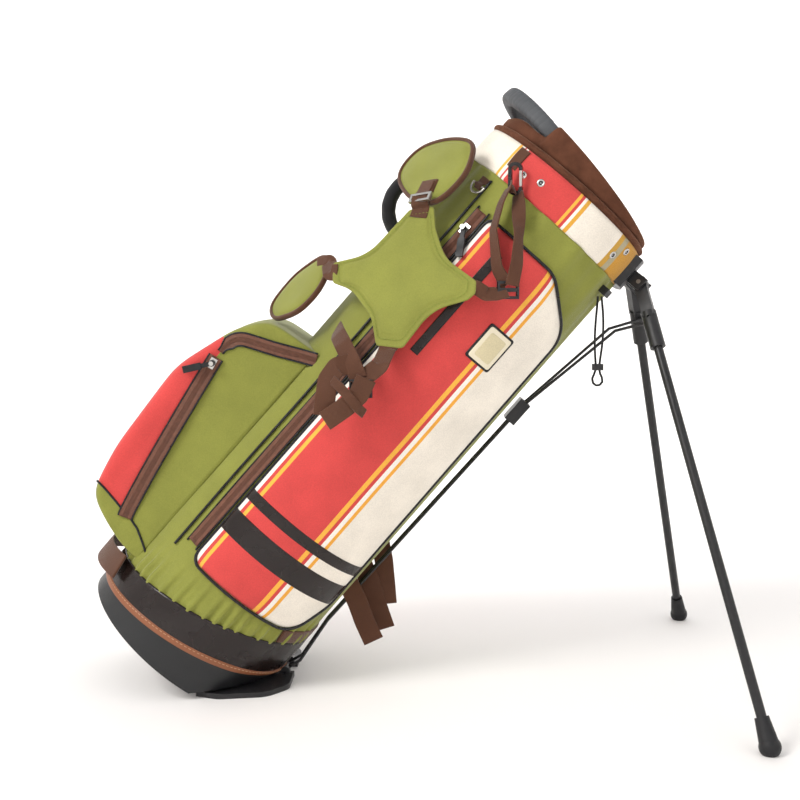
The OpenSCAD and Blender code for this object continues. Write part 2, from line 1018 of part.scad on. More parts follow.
// Frame on the D ring's bar: X out of the bag, Y along the bar
module d_ring_frame() {
    at_body(-134.3, body_len - 22.7, 4.2)
        children();
}

// The ring lies down against the cloth
module d_ring() {
    color("silver")
        on_bag()
            d_ring_frame() {
                rotate([-90, 0, 0])
                    translate([0, 0, -11])
                        cylinder(h = 22, r = 1.5, $fn = 32);
                rotate([0, 90, 0])
                    rotate([0, 0, -90])
                        rotate_extrude(angle = 180)
                            translate([11, 0])
                                circle(r = 1.5, $fn = 32);
                for (y = [-11, 11])
                    translate([0, y, 0])
                        sphere(r = 1.5, $fn = 32);
            }
}

module d_ring_tab() {
    color("saddlebrown")
        on_bag()
            d_ring_frame()
                difference() {
                    union() {
                        rotate([-90, 0, 0])
                            translate([0, 0, -8])
                                cylinder(h = 16, r = 3, $fn = 32);
                        translate([-3, -8, 0])
                            cube([1.6, 16, 8]);
                    }
                    rotate([-90, 0, 0])
                        translate([0, 0, -20])
                            cylinder(h = 40, r = 1.5 + run, $fn = 32);
                }
}

module rear_strap() {
    color("saddlebrown")
        on_bag() {
            flat_strap([-92, -152, body_len - 262], [-52, -162, body_len - 312], webbing_w, webbing_t, 84);
            flat_strap([-48, -168, body_len - 282], [-22, -174, body_len - 346], webbing_w, webbing_t, 84);
            flat_strap([-60, -172, body_len - 330], [-34, -174, body_len - 372], webbing_w, webbing_t, 84);
        }
}

// Spare ends of the harness straps, hanging under the spine
module strap_tails() {
    color("saddlebrown")
        on_bag()
            difference() {
                union() {
                    flat_strap([base_r - 6, -13, 176], [204, -13, 141], 30, 1.6, 90);
                    flat_strap([base_r - 6, 13, 200], [208, 13, 158], 30, 1.6, 90);
                    flat_strap([base_r - 6, 17, 240], [188, 17, 186], 28, 1.6, 90);
                }
                cylinder(h = 400, r1 = body_r(0) + gap, r2 = body_r(400) + gap);
            }
}

// Webbing loop round the pocket side of the base, held to the band at both ends
module base_handle() {
    color("saddlebrown")
        on_bag()
            intersection() {
                translate([-35.4, 0, -100])
                    ring(base_r - 16 + webbing_t, base_r - 16, 300);
                above_slope(54 - loop_w / 1.9, 19);
                below_slope(54 + loop_w / 1.9, 19);
                translate([-84 - 200, -200, -200])
                    cube([200, 400, 400]);
            }
}

// ---- Elastic cord

function ring_point(i, k) =
    let (a = CORD[max(i - 1, 0)],
         b = CORD[min(i + 1, len(CORD) - 1)],
         t = unit(b - a),
         u = unit(cross(t, [0.2, 1, 0.1])),
         v = cross(t, u),
         w = 45 * k + 22.5)
        CORD[i] + cord_d / 2 * (cos(w) * u + sin(w) * v);

module elastic_cord() {
    n = len(CORD);
    color("black")
        on_floor()
            translate(cord_shift)
                polyhedron(
                    points = [for (i = [0 : n - 1]) for (k = [0 : 7]) ring_point(i, k)],
                    faces = concat(
                        [for (i = [0 : n - 2]) for (k = [0 : 7])
                            [8 * i + k, 8 * i + (k + 1) % 8, 8 * i + 8 + (k + 1) % 8, 8 * i + 8 + k]],
                        [[for (k = [0 : 7]) 7 - k]],
                        [[for (k = [0 : 7]) 8 * (n - 1) + k]]));
}

// Lock that both strands of the cord pass through
module cord_lock() {
    color("black")
        on_floor()
            translate(cord_shift + CORD_LOCK)
                difference() {
                    cube([14, 9, 8], center = true);
                    for (x = [-2.4, 2.4])
                        translate([x, 0, -10])
                            cylinder(h = 20, r = 1.9, $fn = 32);
                }
}

// Moulded anchor on the body that the cord hangs from
module cord_anchor() {
    color("black")
        on_bag()
            at_body(-30, body_len - 21, gap)
                cube([11, 14, 10]);
}

body_shell();
floor_pad();
club_divider();
spine_stays();
collar_band();
rim_trim();
top_frame();
divider_covers();
mouth_cuff();
grab_grip();
grip_core();
rivets();
base_cup();
base_band();
base_trim();
spine_band();
heel_pin();
heel_plate();
actuator();
leg_bracket();
hinge_pins();
knuckle();  // knuckle_left
mirror([0, 1, 0]) knuckle();  // knuckle_right
leg_tube();  // leg_tube_left
mirror([0, 1, 0]) leg_tube();  // leg_tube_right
foot();  // foot_left
mirror([0, 1, 0]) foot();  // foot_right
wire();  // wire_left
mirror([0, 1, 0]) wire();  // wire_right
side_pocket();  // side_pocket_left
mirror([0, 1, 0]) side_pocket();  // side_pocket_right
side_zip();  // side_zip_left
mirror([0, 1, 0]) side_zip();  // side_zip_right
side_slider();  // side_slider_left
mirror([0, 1, 0]) side_slider();  // side_slider_right
side_pull();  // side_pull_left
mirror([0, 1, 0]) side_pull();  // side_pull_right
ball_pocket();
ball_zip();
ball_slider();
ball_pull();
label_patch();
carry_handle();
harness_hub();
shoulder_pad();
lower_pad();
loop_buckle();
front_strap();
strap_slides();
carabiner();
carabiner_gate();
hanger_tab();
d_ring();
d_ring_tab();
rear_strap();
strap_tails();
base_handle();
elastic_cord();
cord_lock();
cord_anchor();
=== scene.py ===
import bmesh
import bpy
import math
import numpy as np
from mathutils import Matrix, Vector


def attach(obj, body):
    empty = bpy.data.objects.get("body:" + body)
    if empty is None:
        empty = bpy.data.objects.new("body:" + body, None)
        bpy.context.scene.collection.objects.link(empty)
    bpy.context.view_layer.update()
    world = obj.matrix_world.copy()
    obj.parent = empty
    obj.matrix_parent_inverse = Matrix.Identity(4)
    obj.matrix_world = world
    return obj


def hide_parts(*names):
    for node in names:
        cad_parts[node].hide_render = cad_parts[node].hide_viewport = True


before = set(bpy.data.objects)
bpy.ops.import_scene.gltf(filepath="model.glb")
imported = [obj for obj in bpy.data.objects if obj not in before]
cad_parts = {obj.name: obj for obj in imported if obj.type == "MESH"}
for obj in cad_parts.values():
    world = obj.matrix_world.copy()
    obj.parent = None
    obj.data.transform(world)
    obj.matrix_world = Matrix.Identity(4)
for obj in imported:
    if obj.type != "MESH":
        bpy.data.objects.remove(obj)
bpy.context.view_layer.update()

# ---- Room: camera, pale floor and studio light
# The bag stands on a seamless pale dish that curves up all round, and the camera faces its left side. A soft
# key light comes from the upper left, a weak fill from the right, and a lamp lights the paper behind.

AIM = (-0.018, 0.0, 0.378)
EYE = (0.040, -1.656, 0.552)
LENS = 55.6


def hex_rgb(code):
    """Linear colour of an sRGB hex code: c / 12.92 below 0.04045, else ((c + 0.055) / 1.055) ** 2.4."""
    out = []
    for i in (1, 3, 5):
        c = int(code[i:i + 2], 16) / 255
        out.append(c / 12.92 if c <= 0.04045 else ((c + 0.055) / 1.055) ** 2.4)
    return (*out, 1.0)


def add(tree, kind, inputs=None, **settings):
    """A shader node with its settings, its inputs set to values or linked to other nodes' outputs."""
    n = tree.nodes.new(kind)
    for key, value in settings.items():
        setattr(n, key, value)
    for key, value in (inputs or {}).items():
        if isinstance(value, bpy.types.NodeSocket):
            tree.links.new(value, n.inputs[key])
        else:
            n.inputs[key].default_value = value
    return n


def material(name, **inputs):
    """A new material, its node tree, its surface shader and its object coordinates in metres."""
    m = bpy.data.materials.new(name)
    m.use_nodes = True
    t = m.node_tree
    shader = t.nodes["Principled BSDF"]
    for key, value in inputs.items():
        shader.inputs[key.replace("_", " ")].default_value = value
    return m, t, shader, t.nodes.new("ShaderNodeTexCoord").outputs["Object"]


def calc(tree, operation, a, b=0.5):
    """The output of a maths node on one or two values."""
    return add(tree, "ShaderNodeMath", {0: a, 1: b}, operation=operation).outputs[0]


def noise(tree, coord, scale, detail, **more):
    """A noise pattern in object coordinates; a larger scale gives smaller patches."""
    return add(tree, "ShaderNodeTexNoise", {"Vector": coord, "Scale": scale, "Detail": detail, **more}).outputs[0]


def build(name, points, faces, uv=None, materials=(), which=None, smooth=True):
    """A mesh object from points (n, 3) and faces, with uv per face corner and a material index per face."""
    data = bpy.data.meshes.new(name)
    data.from_pydata(points.tolist(), [], faces)
    if uv is not None:
        data.uv_layers.new(name="UVMap").data.foreach_set("uv", np.asarray(uv, np.float32).ravel())
    for m in materials:
        data.materials.append(m)
    if which is not None:
        data.polygons.foreach_set("material_index", np.asarray(which, np.int32))
    data.polygons.foreach_set("use_smooth", np.full(len(data.polygons), smooth))
    data.update()
    o = bpy.data.objects.new(name, data)
    bpy.context.scene.collection.objects.link(o)
    return o


def full_turn(n, start=0.0):
    """n angles spaced evenly round a circle."""
    return np.linspace(start, start + 2 * math.pi, n, endpoint=False)


FLOOR_R, BEND, WALL = 2.6, 1.6, 2.4  # flat floor's radius, radius of the bend and height of the wall, in metres
STEPS = 72  # round the dish
a = np.linspace(0, math.pi / 2, 20)
reach = np.concatenate([[0.6, 1.6], FLOOR_R + BEND * np.sin(a), [FLOOR_R + BEND]])
rise = np.concatenate([[0.0, 0.0], BEND - BEND * np.cos(a), [BEND + WALL]])
b = full_turn(STEPS)
pts = np.stack([reach[:, None] * np.cos(b), reach[:, None] * np.sin(b), rise[:, None] + 0 * b], -1)
quads = [[(i + 1) * STEPS + j, (i + 1) * STEPS + (j + 1) % STEPS, i * STEPS + (j + 1) % STEPS, i * STEPS + j]
         for i in range(len(reach) - 1) for j in range(STEPS)] + [list(range(STEPS))]
paper = material("studio_paper", Roughness=0.75, Base_Color=hex_rgb("#faf8f6"), Specular_IOR_Level=0.25)[0]
backdrop = build("studio_sweep", pts.reshape(-1, 3), quads, materials=[paper])

cam_data = bpy.data.cameras.new("camera")
cam_data.lens = LENS
cam_data.sensor_width = 36
camera = bpy.data.objects.new("camera", cam_data)
camera.location = EYE
camera.rotation_euler = (Vector(AIM) - Vector(EYE)).to_track_quat("-Z", "Y").to_euler()
bpy.context.scene.collection.objects.link(camera)
bpy.context.scene.camera = camera


def area_light(name, place, aim, size, power, colour):
    """A soft square lamp at place, turned to aim."""
    data = bpy.data.lights.new(name, "AREA")
    data.size = size
    data.energy = power
    data.color = hex_rgb(colour)[:3]
    o = bpy.data.objects.new(name, data)
    o.location = place
    o.rotation_euler = (Vector(aim) - Vector(place)).to_track_quat("-Z", "Y").to_euler()
    bpy.context.scene.collection.objects.link(o)


area_light("key", (-1.9, -1.7, 2.5), (0, 0, 0.35), 1.1, 66, "#fffdfa")
area_light("fill", (1.7, -2.6, 1.6), (0, 0, 0.3), 2.4, 8, "#f8faff")
area_light("back", (0.4, 1.6, 2.6), (0, 4.2, 1.0), 2.4, 70, "#ffffff")
world = bpy.data.worlds.new("studio")
world.use_nodes = True
sky = world.node_tree.nodes["Background"]
sky.inputs["Color"].default_value = hex_rgb("#fbfcff")
sky.inputs["Strength"].default_value = 0.68
bpy.context.scene.world = world
bpy.context.scene.view_settings.view_transform = "Standard"
bpy.context.scene.view_settings.look = "None"


# ---- Fabric body: the olive tube that everything is sewn to
# Padded nylon, 133 mm to 127 mm in radius, gathered where it meets the base's band and drawn into long soft
# folds under the collar. Lined in dark cloth.

LEAN = math.radians(41)
FLOOR_TO_TRIM = 76.703  # height of the axis above the floor where t is 0, in mm
CENTRE_X = -300.047
BODY_TOP = 713.0
FOOT_R, SHOULDER_R = 133, 127
FOOT_SLOPE = 0.171  # the trim ring's rise per mm towards the spine
SIDES = ((-1, "left"), (1, "right"))


def bag(s, y, t):
    """World points in metres for s towards the spine, y across and t up the bag's axis, all in mm:
    x = centre + s cos(lean) + t sin(lean), z = trim height - s sin(lean) + t cos(lean)."""
    s, y, t = np.broadcast_arrays(np.asarray(s, float), np.asarray(y, float), np.asarray(t, float))
    x = CENTRE_X + s * math.cos(LEAN) + t * math.sin(LEAN)
    z = FLOOR_TO_TRIM - s * math.sin(LEAN) + t * math.cos(LEAN)
    return np.stack([x, y, z], -1) / 1000


def polar(r, phi, t):
    """World points at the radius r and the angle phi (radians) from the spine, t up the bag's axis."""
    return bag(r * np.cos(phi), r * np.sin(phi), t)


def body_r(t):
    """Outside radius of the fabric body at t: 133 mm at the trim, 127 mm under the collar."""
    return FOOT_R - (FOOT_R - SHOULDER_R) * t / BODY_TOP


def band_top(s):
    """Height of the leatherette band's upper edge: a plane that rises towards the spine."""
    return 51 + 0.24 * s


def sewn(piece, stands_for=None):
    """Fixes a finished piece to the bag and hides the node it stands for."""
    if stands_for:
        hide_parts(stands_for)
    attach(piece, "bag")


def grid(name, p, uv, around=False, along=False, ends=False, materials=(), which=None):
    """A mesh of quads from points p (rows, columns, 3). around joins the last column to the first, along the
    last row to the first, and ends closes the first and last rows. uv has one more row or column where joined.
    Faces are turned outwards."""
    r, c = p.shape[:2]
    rows, cols = (r if along else r - 1), (c if around else c - 1)
    i, j = np.meshgrid(np.arange(rows), np.arange(cols), indexing="ij")
    i, j = i.ravel(), j.ravel()
    i1, j1 = (i + 1) % r, (j + 1) % c
    faces = np.stack([i * c + j, i * c + j1, i1 * c + j1, i1 * c + j], -1).tolist()
    w = uv.shape[1]
    flat = uv.reshape(-1, 2)
    corner = np.stack([i * w + j, i * w + j + 1, (i + 1) * w + j + 1, (i + 1) * w + j], -1)
    loops = flat[corner.ravel()]
    points = p.reshape(-1, 3)
    mat = np.zeros(len(faces), int) if which is None else np.asarray(which)[:rows, :cols].ravel()
    if ends:
        for row in (0, r - 1):
            faces.append(list(range(row * c, row * c + c)))
            loops = np.concatenate([loops, flat[row * w: row * w + c]])
            mat = np.append(mat, mat[0 if row == 0 else -1])
    o = build(name, points, faces, loops, materials, mat)
    b = bmesh.new()
    b.from_mesh(o.data)
    bmesh.ops.recalc_face_normals(b, faces=b.faces)
    b.to_mesh(o.data)
    b.free()
    return o


def lattice(u, v, order="ij"):
    """Every pair of a value from u and one from v: rows follow u with the order ij and v with xy."""
    return np.stack(np.meshgrid(u, v, indexing=order), -1)


def uv_mm(tree):
    """The surface's own U and V, which are in mm."""
    xyz = add(tree, "ShaderNodeSeparateXYZ", {0: add(tree, "ShaderNodeUVMap", uv_map="UVMap").outputs[0]})
    return xyz.outputs["X"], xyz.outputs["Y"]


def wave(tree, value, pitch):
    """sin(2 pi value / pitch)."""
    return calc(tree, "SINE", calc(tree, "MULTIPLY", value, 2 * math.pi / pitch))


def stripes(tree, u, stops):
    """Colour that changes sharply at each distance in mm along |u|; stops are (from mm, hex code)."""
    far = stops[-1][0] + 40.0
    ramp = add(tree, "ShaderNodeValToRGB", {0: calc(tree, "DIVIDE", calc(tree, "ABSOLUTE", u), far)})
    ramp.color_ramp.interpolation = "CONSTANT"
    cells = ramp.color_ramp.elements
    cells[0].position, cells[0].color = 0.0, hex_rgb(stops[0][1])
    cells.remove(cells[1])
    for at, code in stops[1:]:
        cells.new(at / far).color = hex_rgb(code)
    return ramp.outputs["Color"]


def patchy(tree, coord, scale, detail, low, high, **more):
    """A value that drifts between low and high over the surface."""
    drift = noise(tree, coord, scale, detail, **more)
    return add(tree, "ShaderNodeMapRange", {0: drift, 1: 0.3, 2: 0.7, 3: low, 4: high}).outputs[0]


def tinted(tree, shader, colour, level):
    """Sets the base colour to colour times level."""
    tint = add(tree, "ShaderNodeVectorMath", {0: colour, 3: level}, operation="SCALE")
    tree.links.new(tint.outputs[0], shader.inputs["Base Color"])


def bumped(tree, shader, height, distance, strength, **more):
    """Sets the shader's normal from a height, times distance in metres."""
    bump = add(tree, "ShaderNodeBump", {"Height": height, "Distance": distance, "Strength": strength, **more})
    tree.links.new(bump.outputs[0], shader.inputs["Normal"])


def cloth(name, stops, pitch=0.9, weave=0.05, crease=0.5, rough=0.82, sheen=0.25):
    """Plain-woven cloth. Threads pitch mm apart stand out by weave mm, soft creases by crease mm, the colour
    drifts by a few per cent, and stops gives its woven stripes."""
    m, t, shader, coord = material(name, Roughness=rough, Sheen_Weight=sheen, Sheen_Roughness=0.4,
                                   Specular_IOR_Level=0.35)
    u, v = uv_mm(t)
    both = calc(t, "ADD", noise(t, coord, 22.0, 4.0), noise(t, coord, 700.0, 2.0))
    level = add(t, "ShaderNodeMapRange", {0: both, 1: 0.7, 2: 1.3, 3: 0.88, 4: 1.1})
    tinted(t, shader, stripes(t, u, stops), level.outputs[0])
    thread = calc(t, "MULTIPLY", wave(t, u, pitch), wave(t, v, pitch))
    fine = add(t, "ShaderNodeBump", {"Height": thread, "Distance": weave / 1000, "Strength": 1.0})
    soft = noise(t, coord, 16.0, 3.0, Roughness=0.45)
    bumped(t, shader, soft, crease * 6 / 1000, 0.6, Normal=fine.outputs[0])
    return m


OLIVE = "#86893c"
RED = "#cf4643"
CREAM = "#f0e8da"
YELLOW = "#f2b347"
WHITE = "#f6efe4"
olive_nylon = cloth("olive_nylon", [(0, OLIVE)])
dark_lining = cloth("dark_lining", [(0, "#3a2a22")], rough=0.9)

ang = np.radians(np.arange(0, 360, 0.9) - 180)
low = FOOT_SLOPE * FOOT_R * np.cos(ang) + 4
high = BODY_TOP + 0.4
share = np.concatenate([np.linspace(0, 0.22, 70), np.linspace(0.225, 0.8, 60), np.linspace(0.805, 1, 50)])
T = low[None, :] + (high - low[None, :]) * share[:, None]
A = np.broadcast_to(ang[None, :], T.shape)
over = T - band_top(FOOT_R * np.cos(A))
gather = np.exp(-(np.clip(over - 8, 0, None) / 26) ** 2) * (over > -3)
fine_fold = 0.7 * np.sin(46 * A + 2.2 * np.sin(5 * A)) + 0.4 * np.sin(71 * A + 2 + 1.4 * np.sin(7 * A))
drawn = np.exp(-(BODY_TOP - T) / 75)
long_fold = np.sin(15 * A + 1.2 * np.sin(4 * A) + T / 130) + 0.5 * np.sin(27 * A + 1)
ease = 0.35 * np.sin(T / 47 + 3 * A) * np.sin(2 * A + T / 210)
quiet = 1 - 0.8 * np.exp(-(A / 0.24) ** 4)
push = quiet * (2.5 * gather * fine_fold + 1.9 * np.exp(-((over - 9) / 11) ** 2) + 2.0 * drawn * long_fold + ease)
R = body_r(T) + push
t_in = np.linspace(high, 6, 26)[:, None] + 0 * A[:1]
r_in = body_r(t_in) - 5.5
t_in[-1] = low + 6
P = np.concatenate([polar(R, A, T), polar(body_r(T[-1:]) - 3, A[:1], T[-1:] + 0.3), polar(r_in, A[:1], t_in)])
heights = np.concatenate([T, T[-1:] + 2, 2 * high - t_in])
heights = np.concatenate([heights, heights[-1:] + 5])
UA = np.concatenate([ang, [math.pi]]) * FOOT_R
UV = np.stack(np.broadcast_arrays(UA[None, :], np.concatenate([heights, heights[:, :1]], 1)), -1)
lined = np.zeros(P.shape[:2], int)
lined[len(T):] = 1
body = grid("body_cloth", P, UV, around=True, along=True, materials=[olive_nylon, dark_lining], which=lined)
sewn(body, "body_shell")

# ---- Collar: the striped band round the top, and the velour roll on its rim
# Cream, red and ochre cloth with narrow woven stripes, stiffened by the moulded frame inside it.
# The rim is finished with a soft brown roll.


def run(points):
    """The distance run along a line of points up to each of them."""
    return np.concatenate([[0], np.cumsum(np.linalg.norm(np.diff(points, axis=0), axis=1))])


def sweep(name, section, path, across, up, materials, closed=False):
    """A bar whose section (k, 2), in mm, is carried along path (n, 3) on unit vectors across and up (n, 3).
    U runs round the section and V along the path, in mm."""
    section = np.asarray(section, float) / 1000
    path = np.asarray(path, float)
    across, up = (np.broadcast_to(np.asarray(v, float), path.shape) for v in (across, up))
    p = path[:, None] + section[None, :, :1] * across[:, None] + section[None, :, 1:] * up[:, None]
    round_it = np.concatenate([section, section[:1]])
    u = run(round_it) * 1000
    v = run(np.concatenate([path, path[:1]]) if closed else path) * 1000
    return grid(name, p, lattice(u, v, "xy"), around=True, along=closed, ends=not closed, materials=materials)


def squarish(x, power):
    """x with its size raised to a power and its sign kept, which squares off a circle's sine and cosine."""
    return np.sign(x) * np.abs(x) ** power


def rounded_bar(w, h, power=0.5, n=28):
    """Section of a bar w by h with rounded corners: a superellipse, smaller power being squarer."""
    a = full_turn(n)
    return np.stack([w / 2 * squarish(np.cos(a), power), h / 2 * squarish(np.sin(a), power)], -1)


def circle(r, n):
    """Round section of radius r."""
    a = full_turn(n)
    return np.stack([r * np.cos(a), r * np.sin(a)], -1)


def revolve(name, section, materials, n=300):
    """A ring round the bag's axis from a closed section of (radius, t), with U the distance round it in mm."""
    section = np.asarray(section, float)
    a = full_turn(n, -math.pi)
    r, t = section[:, 0][None, :], section[:, 1][None, :]
    p = polar(r, a[:, None], t + 0 * a[:, None])
    u = np.linspace(-math.pi, math.pi, n + 1) * section[:, 0].max()
    v = run(np.concatenate([section, section[:1]]))
    return grid(name, p, lattice(u, v), around=True, along=True, materials=materials)


collar_cloth = cloth("collar_cloth", [
    (0, "#c58f2c"), (88, "#aaa184"), (99, "#c99a3c"), (108, CREAM), (174, "#e0a63e"), (178.5, WHITE), (183, RED),
    (186.5, YELLOW), (191, RED), (279, WHITE), (283, RED), (286, WHITE), (291, YELLOW), (295, CREAM)])
collar = revolve("collar_cloth_band", [
    (120, 717), (124.5, 713.3), (127, 713.6), (128, 716.5), (128.4, 726), (128.3, 745), (127.4, 757),
    (126.2, 762.2), (120, 762.4)], [collar_cloth])
sewn(collar, "collar_band")


def velour(name, code):
    """Short brown pile: a dark ground, a bright edge where it turns away, and brushed patches."""
    m, t, shader, coord = material(name, Roughness=0.95, Sheen_Weight=0.55, Sheen_Roughness=0.35,
                                   Sheen_Tint=hex_rgb("#c79a80"), Specular_IOR_Level=0.1)
    tinted(t, shader, hex_rgb(code)[:3], patchy(t, coord, 45.0, 5.0, 0.75, 1.25, Roughness=0.6))
    bumped(t, shader, noise(t, coord, 1400.0, 2.0), 0.0005, 0.8)
    return m


brown_velour = velour("brown_velour", "#5c3a2b")
a = full_turn(20)
roll = revolve("rim_roll", np.stack([120.2 + 8 * np.cos(a), 767.2 + 5 * np.sin(a)], -1), [brown_velour])
sewn(roll, "rim_trim")

# ---- Mouth: the padded cuff and the covered bars that part the clubs
# A thick velour cuff, highest beside the handle and sloping down to the spine, with a low fold under the
# handle. Two crossed bars in the mouth wear the same velour.

a = full_turn(480, -math.pi)
CUFF_R, CUFF_SLOPE = 112, 0.165
s_mid = CUFF_R * np.cos(a)
step = np.clip((np.degrees(np.abs(a)) - 121) / 3.5, 0, 1)
step = step * step * (3 - 2 * step)
top = (1 - step) * (799 - CUFF_SLOPE * s_mid) + step * (789 + 1.6 * np.sin(9 * a))
foot = 771.8
b = full_turn(32)
sx, sz = squarish(np.cos(b), 0.5), squarish(np.sin(b), 0.5)
width = 11.5 - 2.5 * step + 0.5 * np.sin(11 * a)
r = 112.5 + width[:, None] * sx[None, :]
t = ((top + foot) / 2)[:, None] + ((top - foot) / 2)[:, None] * sz[None, :]
t = t - np.where(sz > 0, CUFF_SLOPE * (r - CUFF_R) * np.cos(a)[:, None] * (1 - step)[:, None] * sz, 0)
P = polar(r, a[:, None], t)
UV = lattice(np.linspace(-390, 390, 481), np.linspace(0, 110, 33))
cuff = grid("velour_cuff", P, UV, around=True, along=True, materials=[brown_velour])
sewn(cuff, "mouth_cuff")

axis_up = bag(0, 0, 1) - bag(0, 0, 0)
axis_up = axis_up / np.linalg.norm(axis_up)
spine_way = (bag(1, 0, 0) - bag(0, 0, 0)) * 1000
side_way = np.array([0.0, 1.0, 0.0])
for name, along, across in (("bar_cover_long", spine_way, side_way), ("bar_cover_cross", side_way, spine_way)):
    d = np.linspace(-106.5, 106.5, 60)[:, None] / 1000
    path = bag(0, 0, 748.3)[None, :] + along[None, :] * d
    cover = sweep(name, rounded_bar(16.5, 40.5, 0.45), path, across, axis_up, [brown_velour])
    sewn(cover, "divider_covers" if name == "bar_cover_long" else None)

# ---- Grab grip: the ribbed rubber arch over the low side of the mouth
# Grey rubber moulded in close ribs over a stiff core, in the same slope as the cuff, open underneath for
# the fingers.


def rubber(name, code, rough=0.62):
    """Moulded rubber with a faint grain and slightly uneven polish."""
    m, t, shader, coord = material(name, Base_Color=hex_rgb(code), Specular_IOR_Level=0.35)
    t.links.new(patchy(t, coord, 90.0, 4.0, rough - 0.08, rough + 0.1), shader.inputs["Roughness"])
    bumped(t, shader, noise(t, coord, 1100.0, 2.0), 0.0002, 0.5)
    return m


grey_rubber = rubber("grey_rubber", "#4d4f52")
slope = math.radians(9.4)
RIB_PITCH = 7.2
a = np.radians(np.linspace(97, 263, 420))
ring_r = 89.4
x, y = ring_r * np.cos(a), ring_r * np.sin(a)
centre_t = 772.5 - 1.7 + 26 + 47.6 * math.tan(slope) - 10
path = bag(-47.6 + x * math.cos(slope), y, centre_t - x * math.sin(slope))
out = bag(np.cos(a) * math.cos(slope), np.sin(a), -np.cos(a) * math.sin(slope)) - bag(0, 0, 0)
out = out * 1000
over_way = (bag(math.sin(slope), 0, math.cos(slope)) - bag(0, 0, 0)) * 1000
section = rounded_bar(20, 21, 0.62, 36) / 1000
arc = np.degrees(a) * ring_r * math.pi / 180
rib = 0.45 + 0.55 * np.clip(np.abs(np.sin(arc * math.pi / RIB_PITCH)) ** 0.5, 0, 1)
ends = np.clip(np.minimum(np.degrees(a) - 104, 256 - np.degrees(a)) / 4, 0, 1)
size = 1 + 0.075 * ends * (rib - 0.4)
P = path[:, None] + size[:, None, None] * (section[None, :, :1] * out[:, None] + section[None, :, 1:] * over_way)
UV = lattice(np.linspace(0, 66, 37), arc, "xy")
grip = grid("ribbed_grip", P, UV, around=True, ends=True, materials=[grey_rubber])
sewn(grip, "grab_grip")

# ---- Base: moulded cup, leatherette band, stitched trim and the webbing across the spine
# The black cup is moulded plastic. A dark brown leatherette band wraps the body above it, and a tan strip
# stitched along its upper edge covers the joint.


def hard(name, code, rough, metal=0.0, grain=0.0001, edge=0.0006, coat=0.0):
    """Hard plastic, paint or metal with softened edges, a fine surface grain and uneven polish."""
    m, t, shader, coord = material(name, Base_Color=hex_rgb(code), Metallic=metal, Coat_Weight=coat)
    t.links.new(patchy(t, coord, 60.0, 5.0, rough * 0.85, rough * 1.2), shader.inputs["Roughness"])
    edges = add(t, "ShaderNodeBevel", {"Radius": edge}, samples=4)
    bumped(t, shader, noise(t, coord, 1300.0, 2.0), grain, 0.5, Normal=edges.outputs[0])
    return m


def paint_node(node, m):
    """Gives a CAD node its material."""
    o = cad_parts[node]
    for s in o.material_slots:
        s.material = m


black_plastic = hard("black_plastic", "#1b1b1d", 0.42, grain=0.0003)
base_plastic = hard("base_plastic", "#17181a", 0.42, grain=0.0004, edge=0.0015)
paint_node("base_cup", base_plastic)


def leatherette(name, code, rough):
    """Coated imitation leather: small pebbles, soft creases and a satin coat."""
    m, t, shader, coord = material(name, Base_Color=hex_rgb(code), Specular_IOR_Level=0.3, Coat_Weight=0.22,
                                   Coat_Roughness=0.16)
    t.links.new(patchy(t, coord, 30.0, 5.0, rough - 0.07, rough + 0.1), shader.inputs["Roughness"])
    pebble = add(t, "ShaderNodeTexVoronoi", {"Vector": coord, "Scale": 850.0})
    fine = add(t, "ShaderNodeBump", {"Height": pebble.outputs["Distance"], "Distance": 0.0002, "Strength": 0.5})
    bumped(t, shader, noise(t, coord, 20.0, 3.0), 0.004, 0.5, Normal=fine.outputs[0])
    return m


brown_leather = leatherette("brown_leatherette", "#1d1412", 0.24)
a = full_turn(320, -math.pi)
k = np.linspace(0, 1, 16)
s_ring = 134 * np.cos(a)
lo_t, hi_t = FOOT_SLOPE * s_ring + 4, band_top(s_ring) + 0.4 * np.sin(9 * a)
T = lo_t[:, None] + (hi_t - lo_t)[:, None] * k[None, :]
bulge = 0.9 * np.sin(math.pi * k)[None, :] + 0.35 * np.sin(7 * a[:, None] + 3 * k[None, :])
outer = body_r(T) + 2.5 + bulge
Tall = np.concatenate([T, T[:, ::-1]], 1)
Rall = np.concatenate([outer, body_r(T[:, ::-1]) + 0.4], 1)
P = polar(Rall, a[:, None], Tall)
UV = lattice(np.linspace(-420, 420, 321), np.linspace(0, 110, 33))
band = grid("leatherette_band", P, UV, around=True, along=True, materials=[brown_leather])
sewn(band, "base_band")

tan_trim = leatherette("tan_trim", "#8a5538", 0.55)
a = full_turn(320, -math.pi)
b = full_turn(16)
flat = np.clip((137 * np.cos(a) - 80) / 60, 0, 1)
mid = FOOT_SLOPE * 136 * np.cos(a) + 4.5 + 2.2 * flat
r = 135.2 + 1.6 * squarish(np.cos(b), 0.6)
dt = 4.6 * squarish(np.sin(b), 0.6)
P = polar(r[None, :], a[:, None], mid[:, None] + dt[None, :] * (1 - 0.45 * flat)[:, None])
UV = lattice(np.linspace(-427, 427, 321), np.linspace(0, 22, 17))
trim = grid("stitched_trim", P, UV, around=True, along=True, materials=[tan_trim])
sewn(trim, "base_trim")

thread_m = cloth("pale_thread", [(0, "#b58a68")], pitch=1.2, sheen=0.1)


